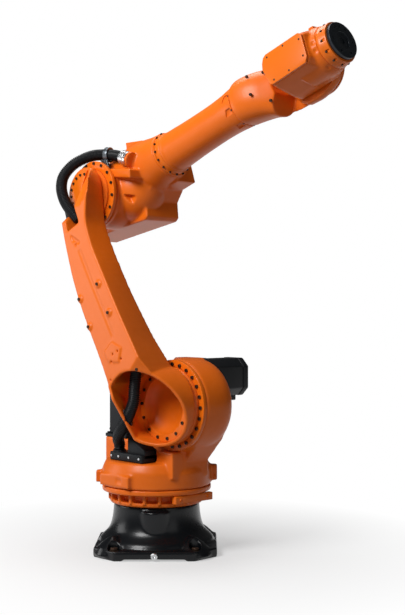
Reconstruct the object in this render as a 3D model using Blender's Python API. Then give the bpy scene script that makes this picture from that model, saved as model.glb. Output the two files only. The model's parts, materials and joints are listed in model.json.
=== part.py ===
"""Six-axis articulated robot arm, 2.1 m reach class, as an assembly of named sub-parts.

World frame: +Z up along axis 1, origin at the centre of the base's mounting face, +X the
direction the arm reaches. Each moving body hangs on an empty that stands on its joint axis,
and every part below an empty is drawn in that empty's own frame.
"""

import math

import bmesh
import bpy
from mathutils import Matrix, Vector

# ---------------------------------------------------------------- driving dimensions (m, degrees)
GAP = 0.0003                 # air between two separate pieces that touch in use

AXIS2_FORWARD = 0.175        # axis 1 to axis 2
AXIS2_HEIGHT = 0.575         # mounting face to axis 2
LINK_LENGTH = 0.890          # axis 2 to axis 3
AXIS4_OFFSET = 0.050         # axis 3 to axis 4
WRIST_REACH = 1.035          # axis 3 to axis 5, along axis 4
FLANGE_REACH = 0.185         # axis 5 to tool flange face
LINK_LEAN = -24.3            # link arm from the vertical, at rest
FOREARM_RISE = 18.9          # forearm above the horizontal, at rest
BASE_YAW = 47.0              # base casting turned against the arm's plane

BASE_HEIGHT = 0.188
PLATE_HALF = 0.235           # half width of the base plate
PLATE_CHAMFER = 0.085        # leg of the plate's cut corners
PLATE_THICKNESS = 0.035
FOOT_BOLT_X = 0.152
FOOT_BOLT_Y = 0.195
RING_TOP = 0.256             # axis 1 seam
RING_RADIUS = 0.212
RIB_COUNT = 20
DRUM_TOP = 0.355

BARREL_RADIUS = 0.172
BARREL_NEAR = -0.0555        # barrel face that carries the axis 2 flange
BARREL_FAR = 0.100
AXIS2_BOLT_CIRCLE = 0.155
AXIS2_BOLTS = 24
HUB_BOLT_CIRCLE = 0.1265
BELL_RADIUS = 0.150
BELL_WALL = 0.014
BELL_INNER_FACE = -0.0925
LINK_NEAR_FACE = -0.280      # the link arm's outer side face
RIM_OFFSET = -0.218          # sloping rim of the bell: y = offset + slope_z * z + slope_x * x
RIM_SLOPE_Z = -0.608
RIM_SLOPE_X = 0.2745

AXIS3_DISC_RADIUS = 0.105
AXIS3_DISC_FACE = -0.205
AXIS3_INNER_FACE = -0.1755
AXIS3_BOLT_CIRCLE = 0.123
HOSE_RADIUS = 0.0225

SEAM4 = 0.333                # axis 4 seam along the forearm
TUBE_END = 0.735             # joint between forearm tube and wrist body
TUBE_RADIUS = 0.0786
TUBE_END_RADIUS = 0.0800
CHEEK_FACE = 0.0435          # inner face of the wrist body's cheek
CHEEK_RADIUS = 0.112
FLANGE_RADIUS = 0.067

ORANGE = ("orange_paint", (0.84, 0.16, 0.012), 0.32, 0.0)
BLACK_PAINT = ("black_paint", (0.008, 0.010, 0.013), 0.22, 0.0)
BLACK_MATT = ("black_motor_paint", (0.012, 0.014, 0.018), 0.45, 0.0)
RUBBER = ("black_hose_rubber", (0.010, 0.011, 0.013), 0.60, 0.0)
STEEL = ("steel", (0.52, 0.53, 0.55), 0.35, 1.0)
SCREW = ("dark_screw", (0.10, 0.10, 0.11), 0.40, 1.0)
BLACK_FLANGE = ("black_oxide", (0.016, 0.020, 0.026), 0.28, 0.6)


# ---------------------------------------------------------------- scene and materials
def clear_scene():
    for item in list(bpy.data.objects):
        bpy.data.objects.remove(item, do_unlink=True)


def material(spec):
    name, colour, roughness, metallic = spec
    found = bpy.data.materials.get(name)
    if found:
        return found
    made = bpy.data.materials.new(name)
    made.use_nodes = True
    shader = made.node_tree.nodes["Principled BSDF"]
    shader.inputs["Base Color"].default_value = (*colour, 1.0)
    shader.inputs["Roughness"].default_value = roughness
    shader.inputs["Metallic"].default_value = metallic
    made.diffuse_color = (*colour, 1.0)
    return made


def empty(name, parent, location, turn_y=0.0, turn_z=0.0):
    made = bpy.data.objects.new(name, None)
    bpy.context.collection.objects.link(made)
    made.parent = parent
    made.location = location
    made.rotation_euler = (0.0, math.radians(turn_y), math.radians(turn_z))
    return made


def solid(name, mesh_builder, spec=None, parent=None):
    """Turn a bmesh into an object, with its faces pointing outwards."""
    bmesh.ops.remove_doubles(mesh_builder, verts=mesh_builder.verts, dist=1e-6)
    bmesh.ops.recalc_face_normals(mesh_builder, faces=mesh_builder.faces)
    mesh = bpy.data.meshes.new(name)
    mesh_builder.to_mesh(mesh)
    mesh_builder.free()
    made = bpy.data.objects.new(name, mesh)
    bpy.context.collection.objects.link(made)
    made.parent = parent
    if spec:
        mesh.materials.append(material(spec))
    return made


def combine(target, tools, operation):
    """Apply one exact boolean per tool, then remove the tools."""
    for tool in tools:
        modifier = target.modifiers.new(operation, "BOOLEAN")
        modifier.operation = operation
        modifier.solver = "EXACT"
        modifier.object = tool
        tool.parent = target.parent
        bpy.context.view_layer.update()
        evaluated = target.evaluated_get(bpy.context.evaluated_depsgraph_get())
        result = bpy.data.meshes.new_from_object(evaluated)
        target.modifiers.clear()
        old = target.data
        target.data = result
        bpy.data.meshes.remove(old)
        bpy.data.objects.remove(tool, do_unlink=True)
    return target


def add(target, *tools):
    return combine(target, tools, "UNION")


def cut(target, *tools):
    return combine(target, tools, "DIFFERENCE")


# ---------------------------------------------------------------- shapes
AXIS_TURN = {
    "Z": Matrix.Identity(4),
    "Y": Matrix.Rotation(math.radians(-90), 4, "X"),   # the profile's +Z goes to +Y
    "X": Matrix.Rotation(math.radians(90), 4, "Y"),    # the profile's +Z goes to +X
}


def lathe(profile, axis="Z", centre=(0, 0, 0), segments=32):
    """Spin a (radius, height) outline round an axis; a radius of 0 closes on the axis."""
    made = bmesh.new()
    rings = []
    for radius, height in profile:
        if radius < 1e-6:
            rings.append([made.verts.new((0.0, 0.0, height))])
            continue
        angles = [2 * math.pi * i / segments for i in range(segments)]
        rings.append([made.verts.new((radius * math.cos(a), radius * math.sin(a), height)) for a in angles])
    closed = len(rings[0]) > 1 and len(rings[-1]) > 1
    pairs = list(zip(rings, rings[1:])) + ([(rings[-1], rings[0])] if closed else [])
    for lower, upper in pairs:
        for i in range(segments):
            j = (i + 1) % segments
            corners = [lower[i % len(lower)], lower[j % len(lower)], upper[j % len(upper)], upper[i % len(upper)]]
            made.faces.new(list(dict.fromkeys(corners)))
    bmesh.ops.transform(made, matrix=Matrix.Translation(centre) @ AXIS_TURN[axis], verts=made.verts)
    return made


def disc(radius, start, end, axis="Z", centre=(0, 0, 0), segments=32):
    return lathe([(0, start), (radius, start), (radius, end), (0, end)], axis, centre, segments)


def ring(inner, outer, start, end, axis="Z", centre=(0, 0, 0), segments=32):
    return lathe([(inner, start), (outer, start), (outer, end), (inner, end)], axis, centre, segments)


def box(low, high, chamfer=0.0):
    made = bmesh.new()
    bmesh.ops.create_cube(made, size=1.0)
    size = Vector(high) - Vector(low)
    middle = (Vector(high) + Vector(low)) / 2
    bmesh.ops.transform(made, matrix=Matrix.Translation(middle) @ Matrix.Diagonal((*size, 1.0)), verts=made.verts)
    if chamfer:
        bmesh.ops.bevel(made, geom=made.edges[:], offset=chamfer, segments=1, affect="EDGES", profile=0.5)
    return made


def loft(sections):
    """Close a skin over sections that each list the same number of points."""
    made = bmesh.new()
    rings = [[made.verts.new(point) for point in section] for section in sections]
    count = len(rings[0])
    for lower, upper in zip(rings, rings[1:]):
        for i in range(count):
            j = (i + 1) % count
            made.faces.new((lower[i], lower[j], upper[j], upper[i]))
    made.faces.new(rings[0][::-1])
    made.faces.new(rings[-1])
    return made


def prism(outline, start, end, axis="Z"):
    """Extrude an outline; along Y its points are (x, z), along Z (x, y), along X (y, z)."""
    place = {
        "Z": lambda point, depth: (point[0], point[1], depth),
        "Y": lambda point, depth: (point[0], depth, point[1]),
        "X": lambda point, depth: (depth, point[0], point[1]),
    }[axis]
    return loft([[place(point, depth) for point in outline] for depth in (start, end)])


def chamfered_square(half, leg, middle=(0.0, 0.0)):
    corner = half - leg
    outline = [(half, -corner), (half, corner), (corner, half), (-corner, half),
               (-half, corner), (-half, -corner), (-corner, -half), (corner, -half)]
    return [(x + middle[0], y + middle[1]) for x, y in outline]


def around(mesh_builder, angle, axis="Z", centre=(0, 0, 0)):
    """Turn a builder about an axis through a centre, in degrees."""
    turn = Matrix.Rotation(math.radians(angle), 4, axis)
    move = Matrix.Translation(centre)
    bmesh.ops.transform(mesh_builder, matrix=move @ turn @ move.inverted(), verts=mesh_builder.verts)
    return mesh_builder


def bolt_heads(count, circle, radius, start, end, axis, centre=(0, 0, 0), phase=0.0):
    """A ring of hexagonal-section heads to be joined to a flange."""
    heads = []
    for i in range(count):
        angle = math.radians(phase + 360 * i / count)
        across = (circle * math.cos(angle), circle * math.sin(angle))
        offset = {"Y": Vector((across[0], 0, across[1])), "X": Vector((0, across[0], across[1])),
                  "Z": Vector((across[0], across[1], 0))}[axis]
        heads.append(solid("head", disc(radius, start, end, axis, Vector(centre) + offset, 6)))
    return heads


def hose(name, points, radius, spec, parent):
    """Plain round hose on a smooth curve through hand-picked points."""
    knots = [Vector(p) for p in points]
    padded = [2 * knots[0] - knots[1]] + knots + [2 * knots[-1] - knots[-2]]
    path = []
    for before, start, end, after in zip(padded, padded[1:], padded[2:], padded[3:]):
        for step in range(3):
            t = step / 3
            path.append(0.5 * (2 * start + (end - before) * t + (2 * before - 5 * start + 4 * end - after) * t ** 2
                               + (3 * start - before - 3 * end + after) * t ** 3))
    path.append(knots[-1])
    curve = bpy.data.curves.new(name, "CURVE")
    curve.dimensions = "3D"
    curve.bevel_depth = radius
    curve.bevel_resolution = 2
    curve.use_fill_caps = True
    spline = curve.splines.new("POLY")
    spline.points.add(len(path) - 1)
    for point, place in zip(spline.points, path):
        point.co = (*place, 1.0)
    curve.materials.append(material(spec))
    made = bpy.data.objects.new(name, curve)
    bpy.context.collection.objects.link(made)
    made.parent = parent
    return made


# ---------------------------------------------------------------- base
def build_base(frame):
    outline = [(x, y) for x, y in chamfered_square(PLATE_HALF, PLATE_CHAMFER)]
    base = solid("base_frame", prism(outline, 0.0, PLATE_THICKNESS), BLACK_PAINT, frame)
    neck = [(0, 0.004), (0.226, 0.004), (0.222, 0.050), (0.205, 0.066), (0.187, 0.084), (0.177, 0.105),
            (0.170, 0.140), (0.163, BASE_HEIGHT), (0, BASE_HEIGHT)]
    add(base, solid("neck", lathe(neck, segments=32)))
    add(base, solid("bulge", lathe([(0, 0.052), (0.030, 0.055), (0.062, 0.085), (0.066, 0.170), (0, 0.180)],
                                   centre=(0, -0.122, 0), segments=24)))
    for i in range(4):
        foot = lathe([(0, 0.010), (0.075, 0.010), (0.060, 0.040), (0.012, 0.078), (0, 0.078)],
                     centre=(0.150 + 0.008, 0.150 - 0.008, 0), segments=12)
        add(base, solid("foot", around(foot, 90 * i)))
        cut(base, solid("relief", around(box((-0.120, -0.300, -0.010), (0.120, -0.190, 0.006)), 90 * i)))
    cut(base, solid("pocket", disc(0.125, 0.060, 0.300, segments=32)))
    for x in (-1, 1):
        for y in (-1, 1):
            place = (x * FOOT_BOLT_X, y * FOOT_BOLT_Y, 0)
            cut(base, solid("seat", disc(0.022, 0.0275, 0.2, centre=place, segments=12)))
            cut(base, solid("hole", disc(0.0105, -0.01, 0.1, centre=place, segments=12)))
    cut(base, solid("front_hole", disc(0.0075, -0.26, -0.200, "Y", (0, 0, 0.020), 12)))

    number = 0
    for x in (-1, 1):
        for y in (-1, 1):
            number += 1
            bolt = lathe([(0, 0.002), (0.0100, 0.002), (0.0100, 0.0278), (0.0170, 0.0278), (0.0170, 0.0400),
                          (0.0130, 0.0440), (0, 0.0440)], centre=(x * FOOT_BOLT_X, y * FOOT_BOLT_Y, 0), segments=12)
            solid(f"mounting_bolt_{number}", bolt, SCREW, frame)
    screw = lathe([(0, -0.2440), (0.0120, -0.2440), (0.0130, -0.2420), (0.0130, -0.2353), (0.0070, -0.2353),
                   (0.0070, -0.2050), (0, -0.2050)], "Y", (0, 0, 0.020), 16)
    solid("ground_screw", screw, STEEL, frame)

    panel = solid("connection_panel", box((-0.075, 0.190, 0.095), (0.075, 0.236, 0.170), 0.004), BLACK_MATT, frame)
    for x in (-0.045, 0.0, 0.045):
        add(panel, solid("socket", disc(0.016, 0.230, 0.250, "Y", (x, 0, 0.132), 12)))


def build_axis1_ring(frame):
    web = 0.160
    profile = [(0.128, BASE_HEIGHT + GAP), (0.177, BASE_HEIGHT + GAP), (0.182, 0.194), (0.182, 0.2045), (web, 0.2045),
               (web, 0.2345), (0.206, 0.2345), (RING_RADIUS, 0.238), (RING_RADIUS, RING_TOP - GAP),
               (0.128, RING_TOP - GAP)]
    body = solid("axis1_bearing_ring", lathe(profile, segments=32), ORANGE, frame)
    for i in range(RIB_COUNT):
        rib = around(box((web - 0.004, -0.006, 0.200), (0.188, 0.006, 0.238)), -55.4 + 360 * i / RIB_COUNT)
        add(body, solid("rib", rib))
    cut(body, solid("stop_seat", box((0.1797, -0.082, 0.2038), (0.260, 0.112, 0.2353))))
    stop = box((0.180, -0.080, 0.2045), (0.203, 0.110, 0.2340), 0.003)
    solid("axis1_stop_bar", stop, ORANGE, frame)
    unit = [(0, 0.0605), (0.110, 0.0605), (0.124, 0.070), (0.124, 0.252), (0.095, 0.252), (0.095, 0.285), (0, 0.285)]
    solid("axis1_gear_unit", lathe(unit), STEEL, frame)


# ---------------------------------------------------------------- rotating column
def build_column(frame):
    axis2 = Vector((AXIS2_FORWARD, 0, AXIS2_HEIGHT))
    drum = [(0.098, RING_TOP), (0.209, RING_TOP), (RING_RADIUS, 0.260), (RING_RADIUS, 0.318), (0.206, 0.334),
            (0.199, 0.350), (0.192, DRUM_TOP), (0.098, DRUM_TOP)]
    column = solid("column", lathe(drum, segments=36), ORANGE, frame)
    add(column, solid("lid", disc(0.110, 0.290, DRUM_TOP - 0.001)))

    saddle = [(0.205, 0.300), (0.205, 0.362), (0.283, 0.445), (0.320, 0.520), (0.050, 0.560), (0.010, 0.470),
              (-0.040, 0.390), (-0.060, 0.300)]
    add(column, solid("saddle", prism(saddle, -0.035, 0.088, "Y")))
    add(column, solid("pedestal", box((0.110, -0.098, 0.300), (0.203, -0.030, 0.4005))))
    barrel = [(0, BARREL_NEAR), (0.168, BARREL_NEAR), (BARREL_RADIUS, BARREL_NEAR + 0.004), (0.176, 0.020),
              (0.172, 0.060), (0.158, 0.086), (0.135, BARREL_FAR), (0, BARREL_FAR)]
    add(column, solid("barrel", lathe(barrel, "Y", axis2, 40)))
    add(column, solid("motor2_seat", prism(chamfered_square(0.082, 0.030, (0.105, 0.667)), 0.045, 0.108, "Y")))
    cut(column, solid("gear_pocket", disc(0.1453, -0.2, 0.030, "Y", axis2, 40)))

    add(column, solid("motor_seat", box((-0.246, -0.062, 0.330), (-0.100, 0.072, 0.4245))))
    for angle, low, high in ((227.0, 0.263, 0.308), (47.0, 0.270, 0.331)):
        add(column, solid("lug", around(box((0.190, -0.022, low), (0.236, 0.022, high)), angle)))
        cut(column, solid("eye", around(disc(0.006, -0.1, 0.1, "Y", (0.2245, 0, low + 0.024), 8), angle)))
    add(column, solid("pad", around(box((0.150, -0.085, 0.2635), (0.2165, 0.085, 0.310)), 270.0)))

    base = solid("axis1_motor", prism(chamfered_square(0.060, 0.012, (-0.180, 0.005)), 0.4390, 0.6520), BLACK_MATT, frame)
    add(base, solid("plug", box((-0.140, -0.020, 0.560), (-0.102, 0.030, 0.610), 0.004)))
    solid("axis1_motor_flange", box((-0.246, -0.062, 0.4248), (-0.114, 0.072, 0.4387), 0.003), BLACK_MATT, frame)

    flange = solid("axis2_flange_ring", ring(0.1456, 0.1715, -0.0710, BARREL_NEAR - GAP, "Y", axis2, 40), ORANGE, frame)
    add(flange, *bolt_heads(AXIS2_BOLTS, AXIS2_BOLT_CIRCLE, 0.0068, -0.0770, -0.0690, "Y", axis2))
    unit = [(0.113, -0.0918), (0.140, -0.0918), (0.1449, -0.0780), (0.1449, 0.0295), (0.113, 0.0295)]
    solid("axis2_gear_unit", lathe(unit, "Y", axis2, 40), STEEL, frame)

    plate = prism(chamfered_square(0.080, 0.028, (0.105, 0.667)), 0.1083, 0.1200, "Y")
    solid("axis2_motor_flange", plate, BLACK_MATT, frame)
    motor = solid("axis2_motor", prism(chamfered_square(0.075, 0.030, (0.105, 0.667)), 0.1203, 0.3300, "Y"),
                  BLACK_MATT, frame)
    add(motor, solid("plug", box((0.080, 0.262, 0.570), (0.130, 0.308, 0.600), 0.004)))

    side = [(0.006, 0.3700), (0.105, 0.3700), (0.105, 0.404), (0.030, 0.440), (0.006, 0.446)]
    junction = solid("junction_box", box((-0.085, -0.166, 0.3555), (0.105, -0.088, 0.388)), BLACK_MATT, frame)
    add(junction, solid("lid", prism(side, -0.152, -0.0895, "Y")))
    add(junction, solid("gland", disc(0.0245, 0.380, 0.3950, "Z", (LOWER_HOSE[-1][0], LOWER_HOSE[-1][1], 0), 16)))
    return column


# ---------------------------------------------------------------- link arm
LINK_STATIONS = (  # height, rear edge, front edge near, front edge far, near face, far face
    (-0.020, -0.083, 0.128, 0.100, LINK_NEAR_FACE, -0.0945),
    (0.060, -0.083, 0.132, 0.098, LINK_NEAR_FACE, -0.0950),
    (0.160, -0.086, 0.120, 0.080, LINK_NEAR_FACE, -0.108),
    (0.250, -0.094, 0.103, 0.062, LINK_NEAR_FACE, -0.122),
    (0.360, -0.108, 0.082, 0.050, LINK_NEAR_FACE, -0.138),
    (0.460, -0.118, 0.066, 0.040, LINK_NEAR_FACE, -0.150),
    (0.560, -0.122, 0.050, 0.034, LINK_NEAR_FACE, -0.160),
    (0.650, -0.117, 0.038, 0.030, LINK_NEAR_FACE, -0.168),
    (0.740, -0.108, 0.042, 0.034, LINK_NEAR_FACE, -0.1745),
    (0.800, -0.099, 0.068, 0.050, LINK_NEAR_FACE, AXIS3_INNER_FACE),
    (0.860, -0.090, 0.104, 0.070, LINK_NEAR_FACE, AXIS3_INNER_FACE),
    (0.905, -0.082, 0.125, 0.078, LINK_NEAR_FACE, AXIS3_INNER_FACE),
    (0.940, -0.070, 0.100, 0.074, -0.235, AXIS3_INNER_FACE),
    (0.965, -0.052, 0.066, 0.060, -0.207, AXIS3_INNER_FACE),
)


BLADE_SIDE = ((-0.0700, 0.8585), (0.0400, 0.9465), (0.0800, 0.9785), (0.300, 0.9785), (0.300, 0.700), (-0.0700, 0.700))


def link_section(height, rear, front, front_far, near, far):
    return [(rear, near, height), (front, near, height), (front_far, far, height), (rear + 0.010, far, height)]


def build_link_arm(frame):
    axis3 = (0, 0, LINK_LENGTH)
    arm = solid("link_arm", loft([link_section(*station) for station in LINK_STATIONS]), ORANGE, frame)
    add(arm, solid("bell", disc(BELL_RADIUS, LINK_NEAR_FACE + 0.001, BELL_INNER_FACE, "Y", segments=36)))
    head = solid("head", disc(AXIS3_DISC_RADIUS, AXIS3_DISC_FACE - 0.001, AXIS3_INNER_FACE + 0.0005, "Y", axis3, 32))
    front = [[(near, -0.2100, height), (far, -0.1720, height), (0.200, -0.1720, height), (0.200, -0.2100, height)]
             for height, near, far in ((0.700, 0.0300, 0.0300), (0.800, 0.0530, 0.0480), (0.860, 0.0785, 0.0670),
                                       (0.905, 0.0900, 0.0750), (0.940, 0.0855, 0.0710), (1.020, 0.0500, 0.0480))]
    cut(head, solid("head_front", loft(front)))
    add(arm, head)

    def rim(x, z):
        return RIM_OFFSET + RIM_SLOPE_Z * z + RIM_SLOPE_X * x

    corners = [(-0.30, -0.30), (0.30, -0.30), (0.30, 0.45), (-0.30, 0.45)]
    outside = loft([[(x, -0.80, z) for x, z in corners], [(x, rim(x, z), z) for x, z in corners]])
    cut(arm, solid("outside_the_rim", outside))

    rear = [(-0.158, -0.118), (-0.084, -0.286), (-0.300, -0.286), (-0.300, -0.118)]
    cut(arm, solid("rear_slope", prism(rear, -0.250, 0.1275)))
    cavity = solid("bell_cavity", disc(BELL_RADIUS - BELL_WALL, -0.40, -0.1122, "Y", segments=36))
    cut(cavity, solid("rear_wall", prism([(x + BELL_WALL, y) for x, y in rear], -0.250, 0.250)))
    cut(arm, cavity)
    cut(arm, solid("hose_notch", box((-0.170, -0.320, -0.060), (-0.085, -0.1660, 0.038))))
    cut(arm, solid("hub_bore", disc(0.1090, -0.2, 0.0, "Y", segments=28)))
    tunnel = [[(-0.062, -0.262, 0.02), (0.075, -0.262, 0.02), (0.055, -0.140, 0.02), (-0.055, -0.140, 0.02)],
              [(-0.066, -0.262, 0.20), (0.070, -0.262, 0.20), (0.040, -0.150, 0.20), (-0.055, -0.150, 0.20)],
              [(-0.086, -0.262, 0.50), (0.030, -0.262, 0.50), (0.010, -0.180, 0.50), (-0.075, -0.180, 0.50)],
              [(-0.080, -0.255, 0.72), (0.005, -0.255, 0.72), (0.005, -0.195, 0.72), (-0.070, -0.195, 0.72)],
              [(-0.072, -0.330, 0.86), (-0.001, -0.330, 0.86), (-0.001, -0.206, 0.86), (-0.065, -0.206, 0.86)]]
    cut(arm, solid("cable_tunnel", loft(tunnel)))
    cut(arm, solid("slot", box((-0.0735, -0.350, 0.770), (-0.0015, -0.2070, 0.900))))
    recess = solid("cap_recess", disc(0.104, -0.35, -0.2050, "Y", axis3, 32))
    cut(recess, solid("blade_side", prism(BLADE_SIDE, -0.40, -0.10, "Y")))
    cut(arm, recess)
    facet = []
    for across, near, far in ((-0.150, 0.790, 0.8220), (-0.068, 0.800, 0.8655), (-0.025, 0.804, 0.8955), (0.038, 0.814, 0.9505),
                              (0.0665, 0.824, 0.9745), (0.0965, 0.840, 1.000), (0.150, 0.931, 1.090)):
        outer = near - (far - near) * 0.070 / 0.075
        facet.append([(across, -0.350, outer), (across, -0.2054, far), (across, -0.2054, 1.100), (across, -0.350, 1.100)])
    cut(arm, solid("blade_facet", loft(facet)))
    for height, across in ((0.430, 0.030), (0.320, 0.050), (0.500, -0.100), (0.395, -0.090)):
        add(arm, solid("boss", disc(0.016, -0.288, -0.274, "Y", (across, 0, height), 10)))
    pad = [(-0.060, 0.215), (-0.010, 0.255), (0.020, 0.232), (0.005, 0.190), (-0.055, 0.180)]
    add(arm, solid("pad", prism(pad, -0.285, -0.276, "Y")))

    hub = [(0, -0.0700), (0.060, -0.0760), (0.098, -0.0990), (0.108, -0.1185), (0.1330, -0.1185), (0.1345, -0.1170),
           (0.1345, -0.1125), (0.1086, -0.1125), (0.1086, -0.0600), (0, -0.0520)]
    plate = solid("axis2_hub_plate", lathe(hub, "Y", segments=28), ORANGE, frame)
    add(plate, *bolt_heads(14, 0.1210, 0.0062, -0.1235, -0.1160, "Y"))

    cap = solid("axis3_end_cap", disc(0.094, -0.2130, AXIS3_DISC_FACE - GAP, "Y", axis3, 28), ORANGE, frame)
    add(cap, *bolt_heads(18, 0.0780, 0.0050, -0.2175, -0.2110, "Y", axis3))
    cut(cap, solid("cap_flat", prism([(x - 0.0015, z + 0.0020) for x, z in BLADE_SIDE], -0.40, -0.10, "Y")))
    return arm


# ---------------------------------------------------------------- arm housing
def along_hose(mesh_builder, start, towards):
    """Stand a builder drawn along X on a point, with +X towards another point."""
    turn = (towards - start).to_track_quat("X", "Z").to_matrix().to_4x4()
    bmesh.ops.transform(mesh_builder, matrix=Matrix.Translation(start) @ turn, verts=mesh_builder.verts)
    return mesh_builder


def build_arm_housing(frame, hose_points):
    tube_axis = (0, 0, AXIS4_OFFSET)
    shell = [(0, -0.1527), (0.116, -0.1527), (0.123, -0.130), (0.130, -0.095), (0.132, -0.040), (0.126, 0.040),
             (0.116, 0.090), (0.100, 0.120), (0, 0.120)]
    housing = solid("arm_housing", lathe(shell, "Y", segments=32), ORANGE, frame)
    neck = [(0, -0.080), (0.070, -0.080), (0.096, -0.050), (0.108, 0.020), (0.114, 0.120), (0.112, 0.180),
            (0.096, 0.260), (0.088, 0.304), (0, 0.304)]
    add(housing, solid("neck", lathe(neck, "X", tube_axis, 28)))
    belly = [(-0.260, -0.080), (-0.245, -0.094), (0.135, -0.154), (0.152, -0.145), (0.166, -0.085), (0.210, -0.052),
             (0.230, 0.010), (0.100, 0.110), (-0.235, 0.110), (-0.260, 0.090)]
    add(housing, solid("belly", prism(belly, -0.050, 0.118, "Y")))
    add(housing, solid("gusset", box((0.170, 0.020, -0.052), (0.292, 0.112, 0.030), 0.008)))
    add(housing, solid("motor3_seat", prism(chamfered_square(0.060, 0.015, (0.015, 0.115)), 0.060, 0.1500, "Y")))
    lug = [(0.085, 0.130), (0.092, 0.198), (0.190, 0.164), (0.180, 0.130)]
    add(housing, solid("lug", prism(lug, -0.022, 0.022, "Y")))
    ledge = [(0.100, 0.034), (0.108, 0.066), (0.222, 0.016), (0.212, -0.018)]
    add(housing, solid("ledge", prism(ledge, -0.150, -0.080, "Y")))
    cut(housing, solid("gear_pocket", disc(0.1003, -0.30, -0.118, "Y", segments=32)))
    cut(housing, solid("shaft_pocket", disc(0.0620, 0.240, 0.400, "X", tube_axis, 24)))

    flange = solid("axis3_flange_ring", ring(0.1006, 0.1320, -0.1670, -0.1530, "Y", segments=32), ORANGE, frame)
    add(flange, *bolt_heads(16, AXIS3_BOLT_CIRCLE, 0.0058, -0.1722, -0.1650, "Y"))
    solid("axis3_gear_unit", disc(0.1000, -0.1735, -0.1183, "Y", segments=32), STEEL, frame)

    seam = [(0.0625, 0.3043), (0.0880, 0.3043), (0.0895, 0.3080), (0.0840, 0.3140), (0.0840, 0.3240),
            (0.0800, 0.3327), (0.0625, 0.3327)]
    bolt_ring = solid("axis4_bolt_ring", lathe(seam, "X", tube_axis, 28), ORANGE, frame)
    for i in range(12):
        head = around(disc(0.0042, 0.312, 0.320, "X", (0, 0, AXIS4_OFFSET + 0.0835), 6), 30 * i, "X", tube_axis)
        add(bolt_ring, solid("head", head))

    motor = solid("axis3_motor", prism(chamfered_square(0.054, 0.014, (0.015, 0.115)), 0.1503, 0.3300, "Y"),
                  BLACK_MATT, frame)
    add(motor, solid("plug", box((-0.005, 0.265, 0.165), (0.035, 0.305, 0.190), 0.003)))
    for number, across, height in ((4, -0.008, 0.058), (5, 0.076, 0.058), (6, 0.034, -0.028)):
        body = solid(f"axis{number}_motor", prism(chamfered_square(0.040, 0.010, (across, height)), -0.3450, -0.2603, "X"),
                     BLACK_MATT, frame)
        low, high = (height + 0.030, height + 0.052) if number < 6 else (height - 0.052, height - 0.030)
        add(body, solid("plug", box((-0.335, across - 0.015, low), (-0.305, across + 0.015, high))))

    start, second, third = hose_points[:3]
    inward = 2 * start - second
    add(housing, solid("socket_boss", along_hose(disc(0.0330, 0.041, 0.062, "X", segments=20), start, inward)))
    cut(housing, solid("socket", along_hose(disc(0.0290, -0.060, 0.050, "X", segments=20), start, inward)))
    connector = [(0, 4 * GAP), (0.0285, 4 * GAP), (0.0285, 0.012), (0.0250, 0.014), (0.0250, 0.022), (0.0285, 0.024),
                 (0.0285, 0.040), (0, 0.040)]
    solid("hose_connector", along_hose(lathe(connector, "X", segments=20), start, inward), STEEL, frame)
    clamp = solid("hose_clamp", along_hose(ring(0.0252, 0.0300, -0.008, 0.008, "X", segments=20), third, hose_points[3]),
                  STEEL, frame)
    plate = [(third.x + x, third.z + z) for x, z in ((-0.024, -0.016), (0.014, -0.028), (0.017, -0.066), (0.003, -0.060))]
    add(clamp, solid("plate", prism(plate, third.y - 0.0290, third.y - 0.0180, "Y")))


# ---------------------------------------------------------------- forearm and wrist
WRIST_STATIONS = (  # distance along axis 4, sideways and upward centre, half width, half height
    (TUBE_END, 0.000, 0.000, 0.0800, 0.0800),
    (0.760, 0.002, 0.003, 0.0840, 0.0860),
    (0.800, 0.010, 0.000, 0.0850, 0.0885),
    (0.840, 0.020, -0.006, 0.0800, 0.0900),
    (0.880, 0.034, -0.016, 0.0700, 0.0940),
    (0.930, 0.050, -0.010, 0.0560, 0.1000),
    (0.980, 0.058, -0.003, 0.0470, 0.1070),
    (1.035, 0.060, 0.000, 0.0450, CHEEK_RADIUS),
    (1.090, 0.060, 0.000, 0.0440, 0.0970),
    (1.125, 0.060, 0.000, 0.0420, 0.0660),
    (1.141, 0.060, 0.000, 0.0380, 0.0280),
)
SWING_RADIUS = 0.139         # room for the wrist housing as it swings
NOSE_ROOM_DEPTH = 0.0830     # how far the cheek's neck is cut back for the nose


def polar(radius, angle):
    return (radius * math.cos(math.radians(angle)), radius * math.sin(math.radians(angle)))


def oval(distance, centre_y, centre_z, half_width, half_height, count=24):
    points = []
    for i in range(count):
        angle = 2 * math.pi * i / count
        square = 0.85
        across = math.copysign(abs(math.cos(angle)) ** square, math.cos(angle))
        upward = math.copysign(abs(math.sin(angle)) ** square, math.sin(angle))
        points.append((distance, centre_y + half_width * across, centre_z + half_height * upward))
    return points


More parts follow.
